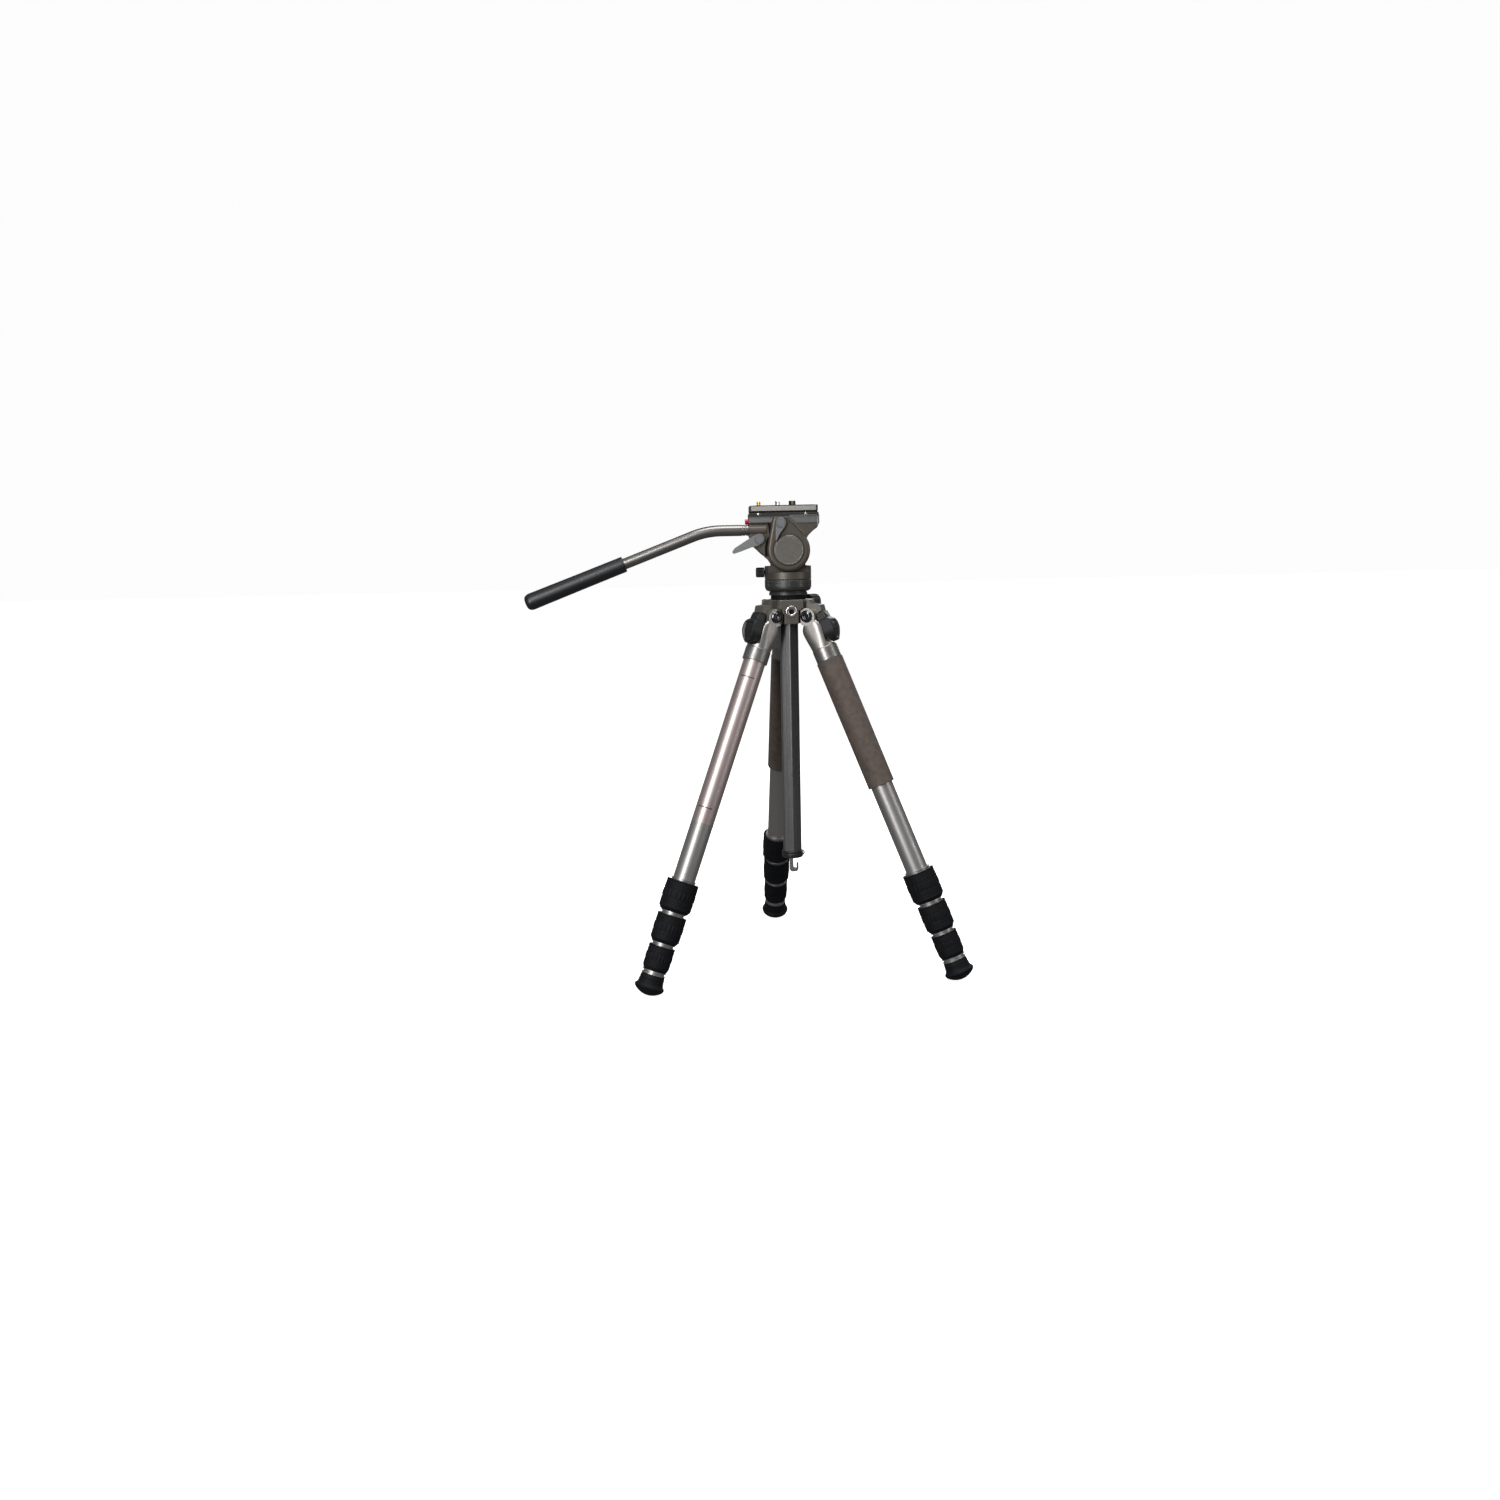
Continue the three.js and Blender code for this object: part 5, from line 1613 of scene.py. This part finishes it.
class TRIPOD_OT_tilt(bpy.types.Operator):
    """Build the tilt body with its pads and panels, the disc, the two levers, the button and the knob."""

    bl_idname = "tripod.tilt"
    bl_label = "Tilt"

    def execute(self, context):
        fitted("tilt_body", [tilt_body_shell()], "head", "tilt", "head_paint")
        piece("tilt_near_pads", pad_shells(-1), "head", "tilt", slot="head_paint")
        piece("tilt_far_pads", pad_shells(1), "head", "tilt", slot="head_paint")
        piece("tilt_panels", panel_shells(), "panel", "tilt")
        # Raised ribs in the lighter panel grey, whose colour is a painted highlight on the flank.
        piece("tilt_flank_highlight_ribs", ridge_shells(), "panel", "tilt")
        piece("plate_clamp_band", band_shells(), "dark", "tilt")
        piece("plate_clamp_screws", clamp_screw_shells(), "steel", "tilt")
        piece("tilt_disc", disc_shells(), "disc", "tilt", "tilt_cap", slot="casting")
        # A black ring in the gap round the disc, as painted shade.
        piece("tilt_disc_gap_shade", disc_gap_shade_shells(), "plastic", "tilt")
        piece("tilt_far_cover", far_cover_shells(), "disc", "tilt")
        fitted("tilt_lock_lever", tilt_lever_shells(), "lever", "tilt_lever", "lever")
        fitted("handle_clamp_lever", clamp_lever_shells(), "lever", "clamp_lever", "lever")
        button = shifted(along_minus_x(rod(3.3, 40, 54.3, 0.7, 40)), y=BUTTON_Y, z=BUTTON_Z)
        fitted("plate_safety_button", [button], "red", "safety_button", "red")
        knob = shifted(along_y(knob_shell(8.5, 30.9, 42.0, 2.8, 9.6, 16)), x=-5, z=127.6)
        fitted("plate_lock_knob", [knob], "plastic", "plate_knob", "plastic")
        return {"FINISHED"}


class TRIPOD_OT_plate(bpy.types.Operator):
    """Build the quick-release plate with its two camera screws and the sprung video pin."""

    bl_idname = "tripod.plate"
    bl_label = "Quick-release plate"

    def execute(self, context):
        fitted("quick_release_plate", plate_shells(), "dark", "plate", "dark_anodised")
        piece("plate_side_strips", plate_side_shells(), "plate", "plate")
        piece("plate_top_pads", plate_pad_shells(), "rubber", "plate")
        quarter = screw_shell(QUARTER_X, 3.1, 7.0)
        fitted("quarter_inch_screw", [quarter], "steel", "quarter_screw", "steel")
        larger = screw_shell(LARGER_X, 4.6, 7.8)
        fitted("three_eighths_screw", [larger], "bronze", "three_eighths", "steel")
        fitted("video_pin", [video_pin_shell()], "brass", "pin", "brass")
        return {"FINISHED"}


class TRIPOD_OT_handle(bpy.types.Operator):
    """Build the bent pan handle and its rubber grip."""

    bl_idname = "tripod.handle"
    bl_label = "Handle"

    def execute(self, context):
        fitted("handle_tube", handle_shells(), "handle", "handle", "tube")
        fitted("handle_grip", [grip_shell()], "grip", "handle", "rubber")
        return {"FINISHED"}


def soft_box(name, place, target, size, energy):
    """An area light that looks at a target."""
    light = bpy.data.lights.new(name, "AREA")
    light.shape = "RECTANGLE"
    light.size, light.size_y = size
    light.energy = energy
    made = bpy.data.objects.new(name, light)
    made.location = place
    aim = Vector(target) - Vector(place)
    made.rotation_euler = aim.to_track_quat("-Z", "Y").to_euler()
    bpy.context.scene.collection.objects.link(made)


def studio_world():
    """White behind the tripod, and a dim studio all round it."""
    world = bpy.data.worlds.new("studio")
    world.use_nodes = True
    tree = world.node_tree
    light_path = tree.nodes.new("ShaderNodeLightPath")
    strength = tree.nodes.new("ShaderNodeMapRange")
    strength.inputs["To Min"].default_value = 0.15
    strength.inputs["To Max"].default_value = 0.98
    tree.links.new(light_path.outputs["Is Camera Ray"], strength.inputs["Value"])
    tree.links.new(strength.outputs["Result"], tree.nodes["Background"].inputs["Strength"])
    tree.nodes["Background"].inputs["Color"].default_value = (1, 1, 1, 1)
    return world


class TRIPOD_OT_stage(bpy.types.Operator):
    """Lay the floor, hang the soft lights and set up the camera."""

    bl_idname = "tripod.stage"
    bl_label = "Stage"

    def execute(self, context):
        bpy.ops.mesh.primitive_plane_add(size=context.scene.tripod_stage.floor_size)
        floor = context.object
        floor.name = "floor"
        pale = Finish("pale_floor", (0.86, 0.86, 0.86), 0.6)
        pale.vary_colour(pale.noise(300, 2), 0.985, 1.0)
        pale.shader.inputs["Emission Color"].default_value = (1, 1, 1, 1)
        pale.shader.inputs["Emission Strength"].default_value = 0.88
        floor.data.materials.append(pale.material)
        floor.visible_diffuse = False
        floor.visible_glossy = False
        context.scene.world = studio_world()
        context.scene.view_settings.view_transform = "Standard"
        middle = (0, 0, 0.35)
        soft_box("left_softbox", (-1.0, -1.8, 1.0), middle, (0.42, 1.8), 38)
        soft_box("right_softbox", (1.7, -0.9, 1.0), middle, (0.25, 1.8), 7)
        soft_box("top_softbox", (0.1, -0.4, 2.2), middle, (1.4, 1.0), 34)
        soft_box("back_softbox", (0.7, 2.0, 1.3), middle, (1.2, 1.2), 16)
        self.set_camera(context, context.scene.tripod_stage)
        return {"FINISHED"}

    def set_camera(self, context, stage):
        """Puts the camera where the settings say."""
        camera = bpy.data.cameras.new("camera")
        camera.lens = stage.lens
        camera.sensor_width = 36
        made = bpy.data.objects.new("camera", camera)
        yaw, pitch, roll = (math.radians(angle) for angle in (stage.yaw, stage.pitch, stage.roll))
        ahead = Vector((math.sin(yaw) * math.cos(pitch), math.cos(yaw) * math.cos(pitch), math.sin(pitch)))
        right = Vector((math.cos(yaw), -math.sin(yaw), 0))
        up = right.cross(ahead)
        rolled_right = right * math.cos(roll) + up * math.sin(roll)
        rolled_up = up * math.cos(roll) - right * math.sin(roll)
        turn = Matrix((rolled_right, rolled_up, -ahead)).transposed().to_4x4()
        made.matrix_world = Matrix.Translation(stage.camera_place) @ turn
        context.scene.collection.objects.link(made)
        context.scene.camera = made


class TRIPOD_PT_sidebar(bpy.types.Panel):
    """The tripod's settings and the steps that build it."""

    bl_label = "Video Tripod"
    bl_idname = "TRIPOD_PT_sidebar"
    bl_space_type = "VIEW_3D"
    bl_region_type = "UI"
    bl_category = "Tripod"

    def draw(self, context):
        scene = context.scene
        for settings in (scene.tripod_finishes, scene.tripod_sizes, scene.tripod_stage):
            box = self.layout.box()
            for name in settings.__annotations__:
                box.prop(settings, name)
        for operator in OPERATORS:
            self.layout.operator(operator.bl_idname)


OPERATORS = (
    TRIPOD_OT_stage,
    TRIPOD_OT_finishes,
    TRIPOD_OT_legs,
    TRIPOD_OT_hub,
    TRIPOD_OT_column,
    TRIPOD_OT_pan,
    TRIPOD_OT_tilt,
    TRIPOD_OT_plate,
    TRIPOD_OT_handle,
)
SETTINGS = {"tripod_finishes": TripodFinishes, "tripod_sizes": TripodSizes, "tripod_stage": TripodStage}
CLASSES = (*SETTINGS.values(), *OPERATORS, TRIPOD_PT_sidebar)


def register():
    """Adds the classes and the scene's settings to Blender."""
    for made in CLASSES:
        bpy.utils.register_class(made)
    for name, group in SETTINGS.items():
        setattr(bpy.types.Scene, name, PointerProperty(type=group))


def unregister():
    """Takes the settings and the classes away again."""
    for name in SETTINGS:
        delattr(bpy.types.Scene, name)
    for made in reversed(CLASSES):
        bpy.utils.unregister_class(made)


def main():
    """Builds the whole tripod."""
    register()
    bpy.ops.tripod.stage()
    bpy.ops.tripod.finishes()
    bpy.ops.tripod.legs()
    bpy.ops.tripod.hub()
    bpy.ops.tripod.column()
    bpy.ops.tripod.pan()
    bpy.ops.tripod.tilt()
    bpy.ops.tripod.plate()
    bpy.ops.tripod.handle()


if __name__ == "__main__":
    main()
